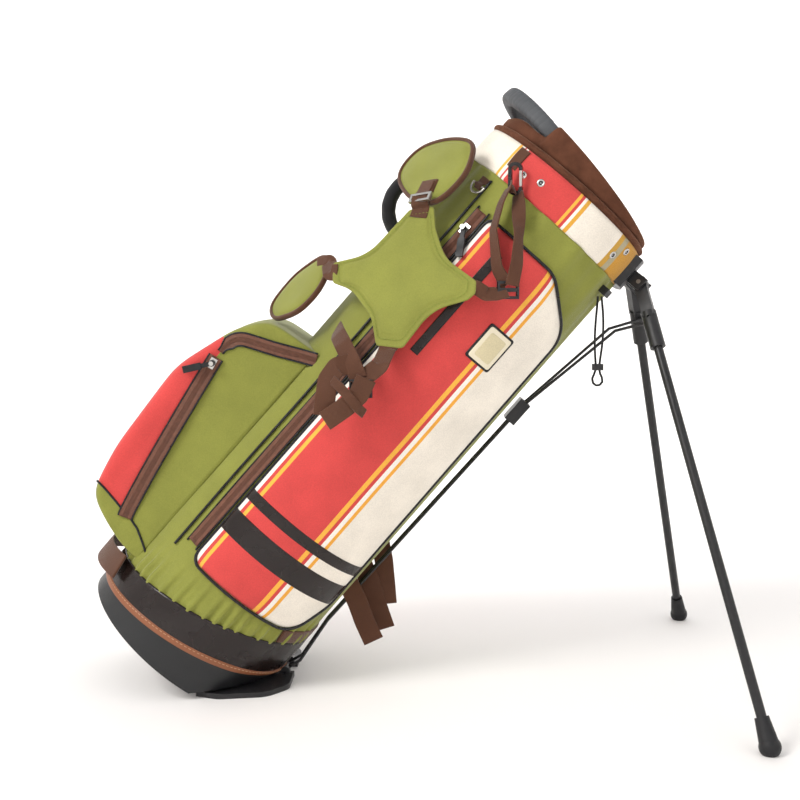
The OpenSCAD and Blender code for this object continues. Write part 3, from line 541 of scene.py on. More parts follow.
def stitches(name, path, normal, length, gap, width, m):
    """Raised stitches along path (n, 3), lying on the surface with that normal (n, 3). Sizes are in metres."""
    along = run(path)
    at = np.arange(gap, along[-1] - length, length + gap)
    ends = [np.stack([np.interp(at + d, along, path[:, i]) for i in range(3)], -1) for d in (0, length)]
    up = np.stack([np.interp(at + length / 2, along, normal[:, i]) for i in range(3)], -1)
    v = ends[1] - ends[0]
    side = np.cross(up, v)
    side /= np.linalg.norm(side, axis=1)[:, None]
    f = np.array([0, 0.12, 0.5, 0.88, 1.0])
    lift = np.array([-0.3, 0.6, 1.0, 0.6, -0.3])
    size = np.array([0.35, 0.9, 1.0, 0.9, 0.35])
    b = full_turn(6)
    centre = ends[0][:, None] + v[:, None] * f[None, :, None] + up[:, None] * (width / 2 * lift)[None, :, None]
    p = (centre[:, :, None] + (size[:, None] * np.cos(b) * width / 2)[None, :, :, None] * side[:, None, None]
         + (size[:, None] * np.sin(b) * width / 2)[None, :, :, None] * up[:, None, None])
    n = len(at)
    i, j, k = (q.ravel() for q in np.meshgrid(np.arange(n), np.arange(4), np.arange(6), indexing="ij"))
    base = i * 30
    quads = np.stack([base + j * 6 + k, base + j * 6 + (k + 1) % 6, base + (j + 1) * 6 + (k + 1) % 6,
                      base + (j + 1) * 6 + k], -1).tolist()
    caps = [[s * 30 + q for q in range(5, -1, -1)] for s in range(n)]
    caps += [[s * 30 + 24 + q for q in range(6)] for s in range(n)]
    faces = quads + caps
    uv = np.zeros((len(quads) * 4 + len(caps) * 6, 2))
    return build(name, p.reshape(-1, 3), faces, uv, [m])


a = np.linspace(-math.pi, math.pi, 400)
flat = np.clip((137 * np.cos(a) - 80) / 60, 0, 1)
seam = polar(136.8, a, FOOT_SLOPE * 136 * np.cos(a) + 6.6 + 1.6 * flat)
out = bag(np.cos(a), np.sin(a), 0 * a) * 1000 - bag(0, 0, 0) * 1000
trim_seam = stitches("trim_stitches", seam, out, 0.004, 0.0022, 0.0011, thread_m)
sewn(trim_seam)

webbing_cloth = cloth("brown_webbing", [(0, "#56331f")], pitch=1.9, weave=0.18, crease=0.15, rough=0.7)


def ribbon(name, path, across, up, width, thick, materials):
    """A flat strap along path (n, 3) in metres; across and up are unit vectors (n, 3), width and thickness in
    mm. U is the distance across from its middle line."""
    section = rounded_bar(width, thick, 0.35, 32)
    across, up = (np.broadcast_to(np.asarray(v, float), path.shape) for v in (across, up))
    p = path[:, None] + (section[None, :, :1] * across[:, None] + section[None, :, 1:] * up[:, None]) / 1000
    u = np.concatenate([section[:, 0], section[:1, 0]])
    return grid(name, p, lattice(u, run(path) * 1000, "xy"), around=True, ends=True, materials=materials)


def unit(v):
    """Each row scaled to length one."""
    return v / np.linalg.norm(v, axis=-1, keepdims=True)


def heading(path):
    """Unit vectors along a path of points."""
    return unit(np.gradient(path, axis=0))


def radial(phi):
    """World unit vectors straight out of the bag at the angle phi (radians) from the spine."""
    return unit(bag(np.cos(phi), np.sin(phi), 0) - bag(0, 0, 0))


def webbing(name, path, out, width, thick, stands_for=None):
    """A brown webbing strap along path with its face turned to out (n, 3), sewn to the bag."""
    strip = ribbon(name, path, np.cross(heading(path), out), out, width, thick, [webbing_cloth])
    sewn(strip, stands_for)


a = np.linspace(math.radians(135), math.radians(225), 60)
s, y = -35.4 + 119.3 * np.cos(a), 119.3 * np.sin(a)
ease = 3.0 * np.exp(-((a - math.pi) / 0.5) ** 2)
path = bag(s - ease, y, 54 + math.tan(math.radians(19)) * s + 0.8 * np.sin(5 * a))
out = unit(np.stack([np.cos(a) * math.cos(LEAN), np.sin(a), -np.cos(a) * math.sin(LEAN)], -1))
webbing("base_handle_webbing", path, out, 33.5, 2.4, "base_handle")

a = np.linspace(-math.radians(44), math.radians(44), 60)
mid = band_top(135 * np.cos(a)) + 11
webbing("spine_webbing", polar(body_r(mid) + 1.6, a, mid), radial(a), 20, 2.4, "spine_band")

# ---- Side pockets: padded striped panels with leatherette bands and black piping
# A red and cream panel lies over each side, with narrow woven stripes along it, two dark bands across its
# lower part and a raised black piping all round.


def rounded(corners, n=12):
    """Points of the polygon (x, y, radius) with its corners rounded: each arc starts radius / tan(half the
    corner's angle) along both edges, shortened where the edges are too short."""
    q = np.array([c[:2] for c in corners], float)
    out = []
    for i, (x, y, r) in enumerate(corners):
        va, vb = q[i - 1] - q[i], q[(i + 1) % len(q)] - q[i]
        la, lb = np.linalg.norm(va), np.linalg.norm(vb)
        va, vb = va / la, vb / lb
        h = math.acos(np.clip(va @ vb, -1, 1)) / 2
        d = min(r / math.tan(h), 0.49 * la, 0.49 * lb)
        r = d * math.tan(h)
        c = q[i] + (va + vb) / np.linalg.norm(va + vb) * r / math.sin(h)
        p0, p1 = q[i] + va * d - c, q[i] + vb * d - c
        for k in np.linspace(0, 1, n):
            v = p0 * (1 - k) + p1 * k
            out.append(c + v / max(np.linalg.norm(v), 1e-9) * r)
    return np.array(out)


def spaced(points, n, closed=True):
    """n points evenly spaced along a line of points."""
    p = np.concatenate([points, points[:1]]) if closed else points
    d = run(p)
    at = np.linspace(0, d[-1], n, endpoint=not closed)
    return np.stack([np.interp(at, d, p[:, i]) for i in range(p.shape[1])], -1)


def on_side(s, t, off, side):
    """Points off mm outside the body's left (side -1) or right surface, at s and t seen from the side."""
    r = body_r(t) + off
    return bag(s, side * np.sqrt(np.maximum(r * r - s * s, 0)), t)


def tube(name, path, radius, normal, materials, closed=False):
    """A round bar of that radius in mm along path, its section turned by the normal (n, 3)."""
    along = unit(np.roll(path, -1, axis=0) - np.roll(path, 1, axis=0)) if closed else heading(path)
    across = unit(np.cross(along, normal))
    return sweep(name, circle(radius, 12), path, across, np.cross(across, along), materials, closed=closed)


def pad(name, outline, centre, place, profile, materials, rows=26, which=None):
    """A stuffed piece with that outline (n, 2). place(x, y, height) gives world points, and profile(k, x, y)
    the top's and the underside's height at the share k of the way out from the centre. which(k, x, y, is_top)
    gives each place's material index."""
    k = np.sin(np.linspace(0.02, 1, rows) * math.pi / 2)
    top = centre[None, None] + k[:, None, None] * (outline - centre)[None]
    both = np.concatenate([top, top[::-1]])
    kk = np.concatenate([k, k[::-1]])[:, None] + 0 * both[..., 0]
    hi, lo = profile(kk, both[..., 0], both[..., 1])
    is_top = np.arange(len(both))[:, None] < rows
    p = place(both[..., 0], both[..., 1], np.where(is_top, hi, lo))
    uv = np.concatenate([both, both[:, :1]], 1)
    mats = None if which is None else which(kk, both[..., 0], both[..., 1], is_top)
    return grid(name, p, uv, around=True, ends=True, materials=materials, which=mats)


side_stripes = cloth("striped_side_cloth", [
    (0, CREAM), (142.8, "#efa83f"), (148.5, WHITE), (154.3, RED), (157.9, YELLOW), (163.6, RED), (247.5, YELLOW),
    (252.5, RED), (257, WHITE)])
black_piping = rubber("black_piping", "#17171a", 0.3)
panel_line = rounded([(-56, 97, 14), (-54, BODY_TOP - 47, 8), (52, BODY_TOP - 47, 40), (116, BODY_TOP - 96, 44),
                      (121, 150, 60), (104, 97, 30)])
panel_edge = spaced(panel_line, 260)
panel_middle = np.array([34.0, 380.0])


def panel_profile(k, s, t):
    """The panel's top, 8.3 mm off the cloth with a rolled edge and slow waves, and its flat back."""
    edge = np.clip((k - 0.9) / 0.1, 0, 1)
    wavy = 0.35 * np.sin(t / 31 + s / 50) + 0.3 * np.sin(t / 13 - s / 24) * np.exp(-((t - 640) / 60) ** 2)
    pucker = 0.25 * np.sin(t / 4.5 + 0.8 * np.sin(s / 9)) * np.clip((k - 0.82) / 0.1, 0, 1) * (1 - edge)
    return 0.9 + (7.5 + wavy + pucker) * np.sqrt(np.maximum(1 - edge ** 2.2, 0)), 0.3 + 0 * k


def panel_uv(o):
    """Sets U to the distance round the body from the spine and V to t, from each corner's place."""
    data = o.data
    co = np.empty(len(data.vertices) * 3)
    data.vertices.foreach_get("co", co)
    co = co.reshape(-1, 3) * 1000
    x, y, z = co[:, 0] - CENTRE_X, co[:, 1], co[:, 2] - FLOOR_TO_TRIM
    s, t = x * math.cos(LEAN) - z * math.sin(LEAN), x * math.sin(LEAN) + z * math.cos(LEAN)
    uv = np.stack([np.arctan2(y, s) * FOOT_R, t], -1)
    ids = np.empty(len(data.loops), np.int32)
    data.loops.foreach_get("vertex_index", ids)
    data.uv_layers["UVMap"].data.foreach_set("uv", uv[ids].astype(np.float32).ravel())


def piping(name, path, radius, normal, closed=False):
    """A round black piping along path, sewn to the bag."""
    sewn(tube(name, path, radius, normal, [black_piping], closed=closed))


for side, tag in SIDES:
    panel = pad("side_panel_" + tag, panel_edge, panel_middle, lambda s, t, h: on_side(s, t, h, side),
                panel_profile, [side_stripes])
    panel_uv(panel)
    sewn(panel, "side_pocket_" + tag)
    rim = (panel_edge - panel_middle) * 1.004 + panel_middle
    path = on_side(rim[:, 0], rim[:, 1], 4.6, side)
    piping("panel_piping_" + tag, path, 1.9, unit(path - bag(0, 0, rim[:, 1])), closed=True)
    for label, low, high in (("thin", 205, 220), ("broad", 155, 187)):
        mid = (low + high) / 2
        s = np.linspace(-56, 120.5, 60)
        lift = 8.4 + 0.35 * np.sin(mid / 31 + s / 50)
        lift -= 4.5 * np.clip((np.abs(s - 32) - 84) / 5, 0, 1) ** 2
        path = on_side(s, mid + 0 * s, lift, side)
        out = unit(path - bag(0, 0, mid))
        strip = ribbon("panel_band_%s_%s" % (label, tag), path, axis_up, out, high - low, 1.5, [brown_leather])
        sewn(strip)

# A short zip runs up the red part of the left panel, behind the hub pad, bound in leatherette.
t = np.linspace(482, 640, 60)
b = np.radians(-97) + 0 * t
binding = ribbon("panel_zip_binding", polar(body_r(t) + 8.7, b, t), np.cross(axis_up, radial(b)), radial(b),
                 12, 1.3, [brown_leather])
sewn(binding)

# ---- Side zips and the long piping beside them
# Brown zip tapes with a coil of teeth run up both sides from the base to the collar, each between two black
# pipings, with a nickel slider near the top and a long rubber pull.


def zip_tape(name, code):
    """Woven zip tape: fine ribs, a coil of teeth down its middle, and painted shade in the groove beside the
    coil, where a thin band of the tape is darkened to stand for its shadow.
    """
    m, t, shader, coord = material(name, Roughness=0.6)
    u, v = uv_mm(t)
    middle = calc(t, "ABSOLUTE", u)
    coil = calc(t, "LESS_THAN", middle, 3.0)
    # Painted shade: the tape's colour is darkened in a thin band just outside the coil, standing in for the
    # shadow in the groove.
    groove_shade = add(t, "ShaderNodeMapRange", {0: middle, 1: 2.6, 2: 3.8, 3: 0.3, 4: 1.0}).outputs[0]
    level = calc(t, "MULTIPLY", calc(t, "MAXIMUM", groove_shade, coil), patchy(t, coord, 180.0, 3.0, 0.85, 1.15))
    tinted(t, shader, hex_rgb(code)[:3], level)
    teeth = calc(t, "MULTIPLY", wave(t, v, 1.5), coil)
    ribs = calc(t, "MULTIPLY", wave(t, u, 1.1), 0.25)
    bumped(t, shader, calc(t, "ADD", teeth, ribs), 0.0005, 1.0)
    return m


brown_zip = zip_tape("brown_zip_tape", "#6d4331")
nickel = hard("nickel", "#c9c8c4", 0.22, metal=1.0, grain=0.00005, edge=0.0004)
black_rubber = rubber("black_rubber", "#1e1e20", 0.5)
for side, tag in SIDES:
    a = side * math.radians(121)
    t = np.linspace(112, 667, 120)
    path = polar(body_r(t) + 2.0, a, t)
    out = radial(np.full(len(t), a))
    tape = ribbon("zip_tape_" + tag, path, np.cross(heading(path), out), out, 16.8, 1.8, [brown_zip])
    sewn(tape, "side_zip_" + tag)
    lane = 9.6 / FOOT_R
    for label, turn, low, high, off, radius in (("front", -lane, 108, 671, 0, 1.3),
                                                ("back", lane, 108, 671, 0, 1.3),
                                                ("root", 2.1 * lane, 92, 704, 1.2, 1.7)):
        t = np.linspace(low, high, 110)
        b = a + side * turn + 0.004 * np.sin(t / 45)
        piping("zip_piping_%s_%s" % (label, tag), polar(body_r(t) + 1.6 + off, b, t), radius, radial(b))
    paint_node("side_slider_" + tag, nickel)
    paint_node("side_pull_" + tag, black_rubber)

# ---- Ball pocket: the big bulging pocket on the low side
# Boxed side walls 150 mm apart follow a bowed outline. Its outer face and the corner in front of the zips are
# red, the rest olive. A zip climbs each side wall and a second pair edges the lid.


def pocket_cloth(name, inside, outside):
    """Cloth with another colour outside the zip's line (U below 0) and above the seam (V from 0 to 252)."""
    m = cloth(name, [(0, inside)])
    t = m.node_tree
    u, v = uv_mm(t)
    shader = t.nodes["Principled BSDF"]
    tint = shader.inputs["Base Color"].links[0].from_node
    plain = tint.inputs[0].links[0].from_socket
    above = calc(t, "MULTIPLY", calc(t, "LESS_THAN", u, 0.0), calc(t, "GREATER_THAN", v, 0.0))
    share = calc(t, "MULTIPLY", above, calc(t, "LESS_THAN", v, 252.0))
    mixed = add(t, "ShaderNodeMix", {0: share, 6: plain, 7: hex_rgb(outside)}, data_type="RGBA")
    t.links.new(mixed.outputs[2], tint.inputs[0])
    return m


two_tone = pocket_cloth("olive_and_red_nylon", OLIVE, RED)
pocket_line = spaced(rounded([(-100, 32, 2), (-150, 34, 20), (-212, 58, 22), (-228, 130, 60), (-236, 262, 50),
                              (-208, 352, 16), (-182, 388, 14), (-100, 396, 2)]), 130)
first, last = (int(np.argmin(np.abs(pocket_line[:, 0] + 100) + np.abs(pocket_line[:, 1] - z))) for z in (32, 396))
pocket_line = np.roll(pocket_line, -first, axis=0)
last = (last - first) % 130
pocket_line = spaced(pocket_line[:last + 1], 150, closed=False)
for _ in range(30):
    pocket_line[1:-1] = (pocket_line[:-2] + 2 * pocket_line[1:-1] + pocket_line[2:]) / 4


def zip_line(t):
    """How far out the side wall's zip runs at t: from 158 mm at the bottom to 203 mm at the lid."""
    return -158 - 45 * np.clip((t - 66) / 240, 0, 1) ** 0.85


def wall_y(s, t):
    """Half the pocket's width at a point of its side wall, which sags in the middle and is drawn in at seams."""
    out = np.clip((-s - 112) / 100, 0, 1)
    sag = 3.2 * np.sin(math.pi * out) * np.sin(math.pi * np.clip((t - 60) / 300, 0, 1))
    bulge = 2.2 * np.exp(-((-s - 218) / 16) ** 2) + 0.5 * np.sin(t / 23 + s / 17) * (1 - out)
    return 74.8 - sag + bulge - 1.2 * np.exp(-((s - zip_line(t)) / 7) ** 2)


n = len(pocket_line)
f = np.linspace(0, 1, n)
root_t = 36 + 356 * (0.5 - 0.5 * np.cos(math.pi * f)) * 0.35 + 356 * f * 0.65
root_s = -np.sqrt((body_r(root_t) + 1.5) ** 2 - 74.0 ** 2)
q = np.linspace(0, 1, 26)[None, :]
wall_s = root_s[:, None] * (1 - q) + pocket_line[:, :1] * q
wall_t = root_t[:, None] * (1 - q) + pocket_line[:, 1:] * q
inset = np.clip((q - 0.9) / 0.1, 0, 1)
side_y = wall_y(wall_s, wall_t) - 7 * (1 - np.sqrt(np.maximum(1 - inset ** 2, 0)))
c = np.linspace(-1, 1, 28)[None, 1:-1]
round_off = 8 * np.abs(c) ** 14
puff = 2.2 * (1 - c ** 2) * np.sin(math.pi * f)[:, None] + 0.8 * np.sin(3 * c + 9 * f[:, None])
share = 1 - (round_off - puff) / 130
face_s = root_s[:, None] * (1 - share) + pocket_line[:, :1] * share
face_t = root_t[:, None] * (1 - share) + pocket_line[:, 1:] * share
face_y = c * (side_y[:, -1:] - 0.5)
b = np.radians(np.linspace(180 + 33.5, 180 - 33.5, 12))[None, :]
back_r = body_r(root_t)[:, None] - 2.6
s = np.concatenate([wall_s, face_s, wall_s[:, ::-1], back_r * np.cos(b)], 1)
y = np.concatenate([-side_y, face_y, side_y[:, ::-1], -back_r * np.sin(b)], 1)
t = np.concatenate([wall_t, face_t, wall_t[:, ::-1], root_t[:, None] + 0 * b], 1)
above_seam = t - 78 + 0.17 * (s + 205)
P = bag(s, y, t)
UV = np.stack([s - zip_line(t), above_seam], -1)
UV = np.concatenate([UV, UV[:, :1]], 1)
pocket = grid("ball_pocket_cloth", P, UV, around=True, ends=True, materials=[two_tone])
sewn(pocket, "ball_pocket")


def on_wall(s, t, off, side):
    """A point off mm outside the pocket's side wall."""
    return bag(s, side * (wall_y(s, t) + off), t)


for side, tag in SIDES:
    t = np.linspace(66, 306, 90)
    s = zip_line(t)
    path = bag(s, side * (76.4 + 0 * t), t)
    out = np.tile([0.0, side * 1.0, 0.0], (len(t), 1))
    tape = ribbon("ball_zip_tape_" + tag, path, np.cross(heading(path), out), out, 16.5, 1.7, [brown_zip])
    sewn(tape, "ball_zip" if side < 0 else None)
    turn = heading(np.stack([s, t], -1))
    for label, shift in (("in", 9.3), ("out", -9.3)):
        path = bag(s + shift * turn[:, 1], side * (76.0 + 0 * t), t - shift * turn[:, 0])
        piping("ball_zip_piping_%s_%s" % (label, tag), path, 1.4, out)
    lid = np.array([(-203, 312), (-203, 330), (-197, 344), (-182, 351), (-152, 364), (-124, 378), (-100, 390)],
                   float)
    lid = spaced(lid, 60, closed=False)
    lid = np.stack([np.convolve(np.pad(lid[:, i], 4, mode="edge"), np.ones(9) / 9, "valid") for i in (0, 1)], -1)
    inward = np.clip((lid[:, 0] + 124) / 26, 0, 1) * 6
    path = on_wall(lid[:, 0], lid[:, 1], 1.2, side)
    path = path + np.stack([0 * inward, side * inward / 1000, 0 * inward], -1)
    out = np.tile([0.0, side * 1.0, 0.0], (len(lid), 1))
    across = np.cross(heading(path), out) * np.clip(np.arange(60) / 8, 0.45, 1)[:, None]
    tape = ribbon("lid_zip_tape_" + tag, path, across, out, 15, 1.6, [brown_zip])
    sewn(tape)
    for label, shift in (("low", -8.4), ("high", 8.4)):
        piping("lid_zip_piping_%s_%s" % (label, tag), path + shift / 1000 * across, 1.3, out)
    corner = spaced(np.array([(-217, 80), (-205, 78.5), (-180, 74), (-162, 70.5), (-150, 69), (-136, 65),
                              (-120, 56), (-104, 46)], float), 60, closed=False)
    piping("pocket_corner_piping_" + tag, on_wall(corner[:, 0], corner[:, 1], 0.8, side), 1.5,
           np.tile([0.0, side * 1.0, 0.0], (60, 1)))
paint_node("ball_slider", nickel)
paint_node("ball_pull", black_rubber)

# ---- Label patch: a blank cream badge with a dark stitched edge
# A thin cream plate on a black border, sewn to the left side panel.

patch_cream = leatherette("cream_patch", "#e6dcc2", 0.45)


def badge(name, w, h, phi, t0, r0, thick, m):
    """A thin plate w by h with rounded corners and a domed edge, bent round the bag at phi and t0."""
    edge = spaced(rounded([(-w / 2, -h / 2, 3), (w / 2, -h / 2, 3), (w / 2, h / 2, 3), (-w / 2, h / 2, 3)]), 96)

    def place(x, y, z):
        a = math.radians(phi) + x / r0
        return polar(r0 + z, a, t0 + y)

    def profile(k, x, y):
        return thick * np.sqrt(np.maximum(1 - np.clip((k - 0.93) / 0.07, 0, 1) ** 2, 0)) + 0.05, 0 * k

    return pad(name, edge, np.zeros(2), place, profile, [m], rows=14)


patch_t = BODY_TOP - 166
patch_r = body_r(patch_t) + 8.55
badge_cloth = cloth("pale_badge_cloth", [(0, "#d9cda8")])
for name, w, h, off, thick, m, node in (("label_border", 41, 52, 0.0, 1.3, black_piping, "label_patch"),
                                        ("label_face", 36, 47, 0.2, 1.7, patch_cream, None),
                                        ("label_window", 26, 36, 0.5, 1.75, badge_cloth, None)):
    sewn(badge(name, w, h, -68, patch_t, patch_r + off, thick, m), node)

# ---- Carry handle: the padded black grip on the upper left of the low side
# A soft foam grip covered in black knit, standing off the bag in a half loop with gathered ends.

black_knit = cloth("black_knit", [(0, "#1d1d20")], pitch=2.2, weave=0.2, crease=0.5, rough=0.8, sheen=0.15)
a = np.linspace(-2, 182, 150)
turn = np.radians(a)
path = bag(-128.5 - 46 * np.sin(turn), 24 + 0 * turn, BODY_TOP - 90 + 46 * np.cos(turn))
up = np.tile([0.0, 1.0, 0.0], (len(a), 1))
out = np.cross(heading(path), up)
swell = 0.72 + 0.28 * np.clip(np.minimum(a + 2, 182 - a) / 30, 0, 1) ** 0.6
swell = swell + 0.018 * np.sin(a / 3.1) + 0.02 * np.exp(-((a - 90) / 60) ** 2)
ring = circle(11, 26) / 1000
SQUASH = 0.86
P = path[:, None] + swell[:, None, None] * (ring[None, :, :1] * up[:, None]
                                            + ring[None, :, 1:] * SQUASH * out[:, None])
UV = lattice(np.linspace(0, 69, 27), np.radians(a) * 46, "xy")
handle = grid("padded_carry_handle", P, UV, around=True, ends=True, materials=[black_knit])
sewn(handle, "carry_handle")

# ---- Harness: hub pad, shoulder pads and their webbing
# Quilted olive pads bound in brown webbing. Straps leave the hub's four arms: up to the shoulder pad by a
# nickel loop, across to the lower pad, down through a slide to two hanging ends, and up to the hook.


def framed(s0, y0, t0, degrees):
    """Placing function for a pad whose face looks along degrees from the spine: (x left, y up, height out)."""
    c, w = math.cos(math.radians(degrees)), math.sin(math.radians(degrees))

    def place(x, y, z):
        return bag(s0 + z * c - x * w, y0 + z * w + x * c, t0 + y)

    return place


def quilted(thick, lip=0.84, puff=2.0):
    """Height of a quilted pad: a flat stitched edge outside the share lip, a full middle and a hollow back."""

    def profile(k, x, y):
        inside = np.sqrt(np.maximum(1 - np.clip(k / lip, 0, 1) ** 3.2, 0))
        rolled = np.sqrt(np.maximum(1 - np.clip((k - 0.97) / 0.03, 0, 1) ** 2, 0))
        ease = 0.45 * np.sin(x / 11 + 1) * np.sin(y / 13) * inside
        half = thick * 0.36
        base = thick * 0.5 - 0.5
        top = base + (half - 3) * inside + 1.7 * rolled + puff * inside + ease
        return top, base - 1.7 * rolled - (half - 2.5) * inside

    return profile


hub_outline = rounded([(-52, 69, 6), (-29, 92, 6), (-6, 72, 50), (32, 52, 60), (86, 56, 5), (96, 44, 5),
                       (94, 32, 5), (66, -6, 60), (70, -64, 8), (40, -84, 8), (8, -62, 50), (-40, -54, 50),
                       (-68, -64, 5), (-88, -46, 5), (-56, -8, 60)])
hub_edge = spaced(hub_outline, 240)
hub_place = framed(-88, -118, BODY_TOP - 171, -120)
hub = pad("harness_hub_pad", hub_edge, np.array([2.0, 0.0]), hub_place, quilted(14), [olive_nylon], rows=34)
sewn(hub, "harness_hub")
green_thread = cloth("green_thread", [(0, "#7f8a35")], pitch=1.2, sheen=0.1)
ring = (hub_edge - [2.0, 0.0]) * 0.9 + [2.0, 0.0]
ring = np.concatenate([ring, ring[:1]])
hub_out = unit(hub_place(0.0, 0.0, 1.0) - hub_place(0.0, 0.0, 0.0))
hub_seam = stitches("hub_stitches", hub_place(ring[:, 0], ring[:, 1], 9.2 + 0 * ring[:, 0]),
                    np.tile(hub_out, (241, 1)), 0.0032, 0.0016, 0.0009, green_thread)
sewn(hub_seam)

foam_lining = cloth("pale_mesh_lining", [(0, "#dcd9d2")], pitch=2.4, weave=0.3, crease=0.3)
pads = [
    ("shoulder_pad", framed(-145, -62, BODY_TOP - 45, -145), np.array([2.0, 0.0]),
     [(-60, -34, 20), (-56, 14, 20), (-14, 44, 30), (36, 60, 8), (70, 20, 14), (62, -34, 22), (4, -46, 20)]),
    ("lower_pad", framed(-176, -36, BODY_TOP - 268, -150), np.array([2.0, 0.0]),
     [(-6, 52, 8), (-34, 4, 30), (-32, -50, 8), (4, -58, 8), (44, -24, 20), (48, 14, 8), (24, 48, 8)]),
]
for name, place, middle, corners in pads:
    edge = spaced(rounded(corners), 200)
    for _ in range(14):
        edge = (np.roll(edge, 3, axis=0) + 2 * edge + np.roll(edge, -3, axis=0)) / 4
    edge = (edge - middle) * 1.03 + middle
    o = pad(name + "_cushion", edge, middle, place, quilted(14, 0.88), [olive_nylon, foam_lining], rows=30,
            which=lambda k, x, y, top: np.where(top | (k > 0.93), 0, 1))
    sewn(o, name)
    ring = (edge - middle) * 0.985 + middle
    path = place(ring[:, 0], ring[:, 1], 6.5 + 0 * ring[:, 0])
    face_out = unit(place(0.0, 0.0, 1.0) - place(0.0, 0.0, 0.0))
    along = unit(np.roll(path, -1, axis=0) - np.roll(path, 1, axis=0))
    out = np.tile(face_out, (len(path), 1))
    across = unit(np.cross(along, out))
    binding = sweep(name + "_binding", rounded_bar(5.5, 7.5, 0.75, 20), path, across, np.cross(across, along),
                    [webbing_cloth], closed=True)
    sewn(binding)


def strap(name, points, width, up, thick=2.2, stands_for=None, n=70):
    """A webbing strap through points (s, y, t), smoothed, its face turned along up (one vector or several)."""
    line = spaced(np.array(points, float), n, closed=False)
    for _ in range(5):
        line[1:-1] = (line[:-2] + 2 * line[1:-1] + line[2:]) / 4
    path = bag(line[:, 0], line[:, 1], line[:, 2])
    up = np.array(up, float)
    if up.ndim == 2:
        given, at = np.linspace(0, 1, len(up)), np.linspace(0, 1, n)
        up = np.stack([np.interp(at, given, up[:, i]) for i in range(3)], -1)
    along = heading(path)
    out = unit(up - along * np.sum(up * along, axis=1, keepdims=True))
    webbing(name, path, out, width, thick, stands_for)


def at_frame(place, x, y, z):
    """The (s, y, t) place in mm of a point given in a pad's own frame."""
    w = place(float(x), float(y), float(z)) * 1000
    x0, z0 = w[0] - CENTRE_X, w[2] - FLOOR_TO_TRIM
    return (x0 * math.cos(LEAN) - z0 * math.sin(LEAN), w[1], x0 * math.sin(LEAN) + z0 * math.cos(LEAN))


shoulder_place = pads[0][1]
skew = math.radians(31.5)
square = spaced(rounded([(-13, -12, 2), (13, -12, 2), (13, 12, 2), (-13, 12, 2)]), 60)


def turned(x, y, z):
    """A place on the shoulder pad's face, level in the standing bag: x right, y up from the square's middle."""
    return shoulder_place(31 + x * math.cos(skew) - y * math.sin(skew) * 0.8,
                          -22 + x * math.sin(skew) + y * math.cos(skew), z + 12.6 - 0.0035 * (x * x + y * y))


def square_profile(k, x, y):
    """A flat square of webbing with a rounded edge."""
    return 2.6 * np.sqrt(np.maximum(1 - np.clip((k - 0.9) / 0.1, 0, 1) ** 2, 0)) + 0.1, -0.9 + 0 * k


tab = pad("webbing_square", square, np.zeros(2), turned, square_profile, [webbing_cloth], rows=12)
sewn(tab)
strap("shoulder_pad_webbing", [at_frame(turned, 0, 8, 3.4), at_frame(turned, 0, -6, 3.2),
                               at_frame(turned, 0, -14, 5.0), (-134.5, -106, 627)], 23,
      shoulder_place(0.0, 0.0, 1.0) - shoulder_place(0.0, 0.0, 0.0))
paint_node("loop_buckle", nickel)
strap("hub_upper_webbing", [(-136, -108, 631), (-132, -108, 624), at_frame(hub_place, -40, 79, 8),
                            at_frame(hub_place, -34, 68, 9)], 23, hub_out, 2.4)

strap("hanging_strap_back", [(-54, -125, 712), (-62, -131, 712), (-57, -138, 690), (-42, -142, 658),
                             (-8, -148, 626), (14, -154, 618)], 17,
      [(-0.95, -0.3, 0.1), (-0.9, -0.45, 0.2), (-0.5, -0.85, 0)], stands_for="front_strap")
strap("hanging_strap_front", [(-48, -125, 711), (-40, -134, 703), (-17, -150, 676), (6, -157, 646),
                              (19, -159, 622)], 17, [(-0.7, -0.7, 0.2), (0.75, -0.65, 0.1), (0.2, -0.95, 0)])
strap("hub_front_webbing", [at_frame(hub_place, 76, 40, 6), at_frame(hub_place, 90, 50, 6), (2, -166, 594),
                            (12, -163, 603), (19, -159, 613)], 17.5, hub_out)

strap("hub_lower_webbing", [at_frame(hub_place, 52, -62, 6), at_frame(hub_place, 54, -76, 6), (-38, -172, 446),
                            (-42, -174, 424), (-46, -172, 404)], 24, hub_out, stands_for="rear_strap")
strap("body_lower_webbing", [(-108, -118, 440), (-102, -140, 438), (-90, -158, 435), (-68, -172, 427),
                             (-46, -176, 417)], 22, [(-0.4, -0.9, 0.1), (-0.2, -1, 0.4), (0.1, -1, 0.1)])
strap("buckle_strap", [(-66, -170, 424), (-76, -177, 410), (-74, -182, 392), (-62, -182, 374),
                       (-50, -180, 356)], 25, [(-0.35, -0.9, 0.1), (-0.2, -1, 0.1), (0.2, -1, 0.1)])
strap("buckle_tail", [(-40, -182, 424), (-34, -187, 404), (-36, -188, 384), (-44, -183, 352)], 25,
      [(0.1, -1, 0.1), (0.3, -0.95, 0), (0.0, -1, 0.1)])
strap("buckle_keeper", [(-70, -184, 396), (-56, -190, 396), (-40, -192, 394), (-24, -189, 391),
                        (-14, -182, 390)], 12, [(-0.5, -0.85, 0), (0, -1, 0), (0.6, -0.8, 0)])
lower_place = pads[1][1]
strap("lower_pad_webbing", [at_frame(lower_place, 6, 34, 11), at_frame(lower_place, 22, 48, 9),
                            at_frame(hub_place, -82, -57, 6), at_frame(hub_place, -72, -50, 8)], 21,
      [(-0.2, -1, 0.3), (-0.2, -1, 0.2), (-0.3, -0.9, 0.1)])

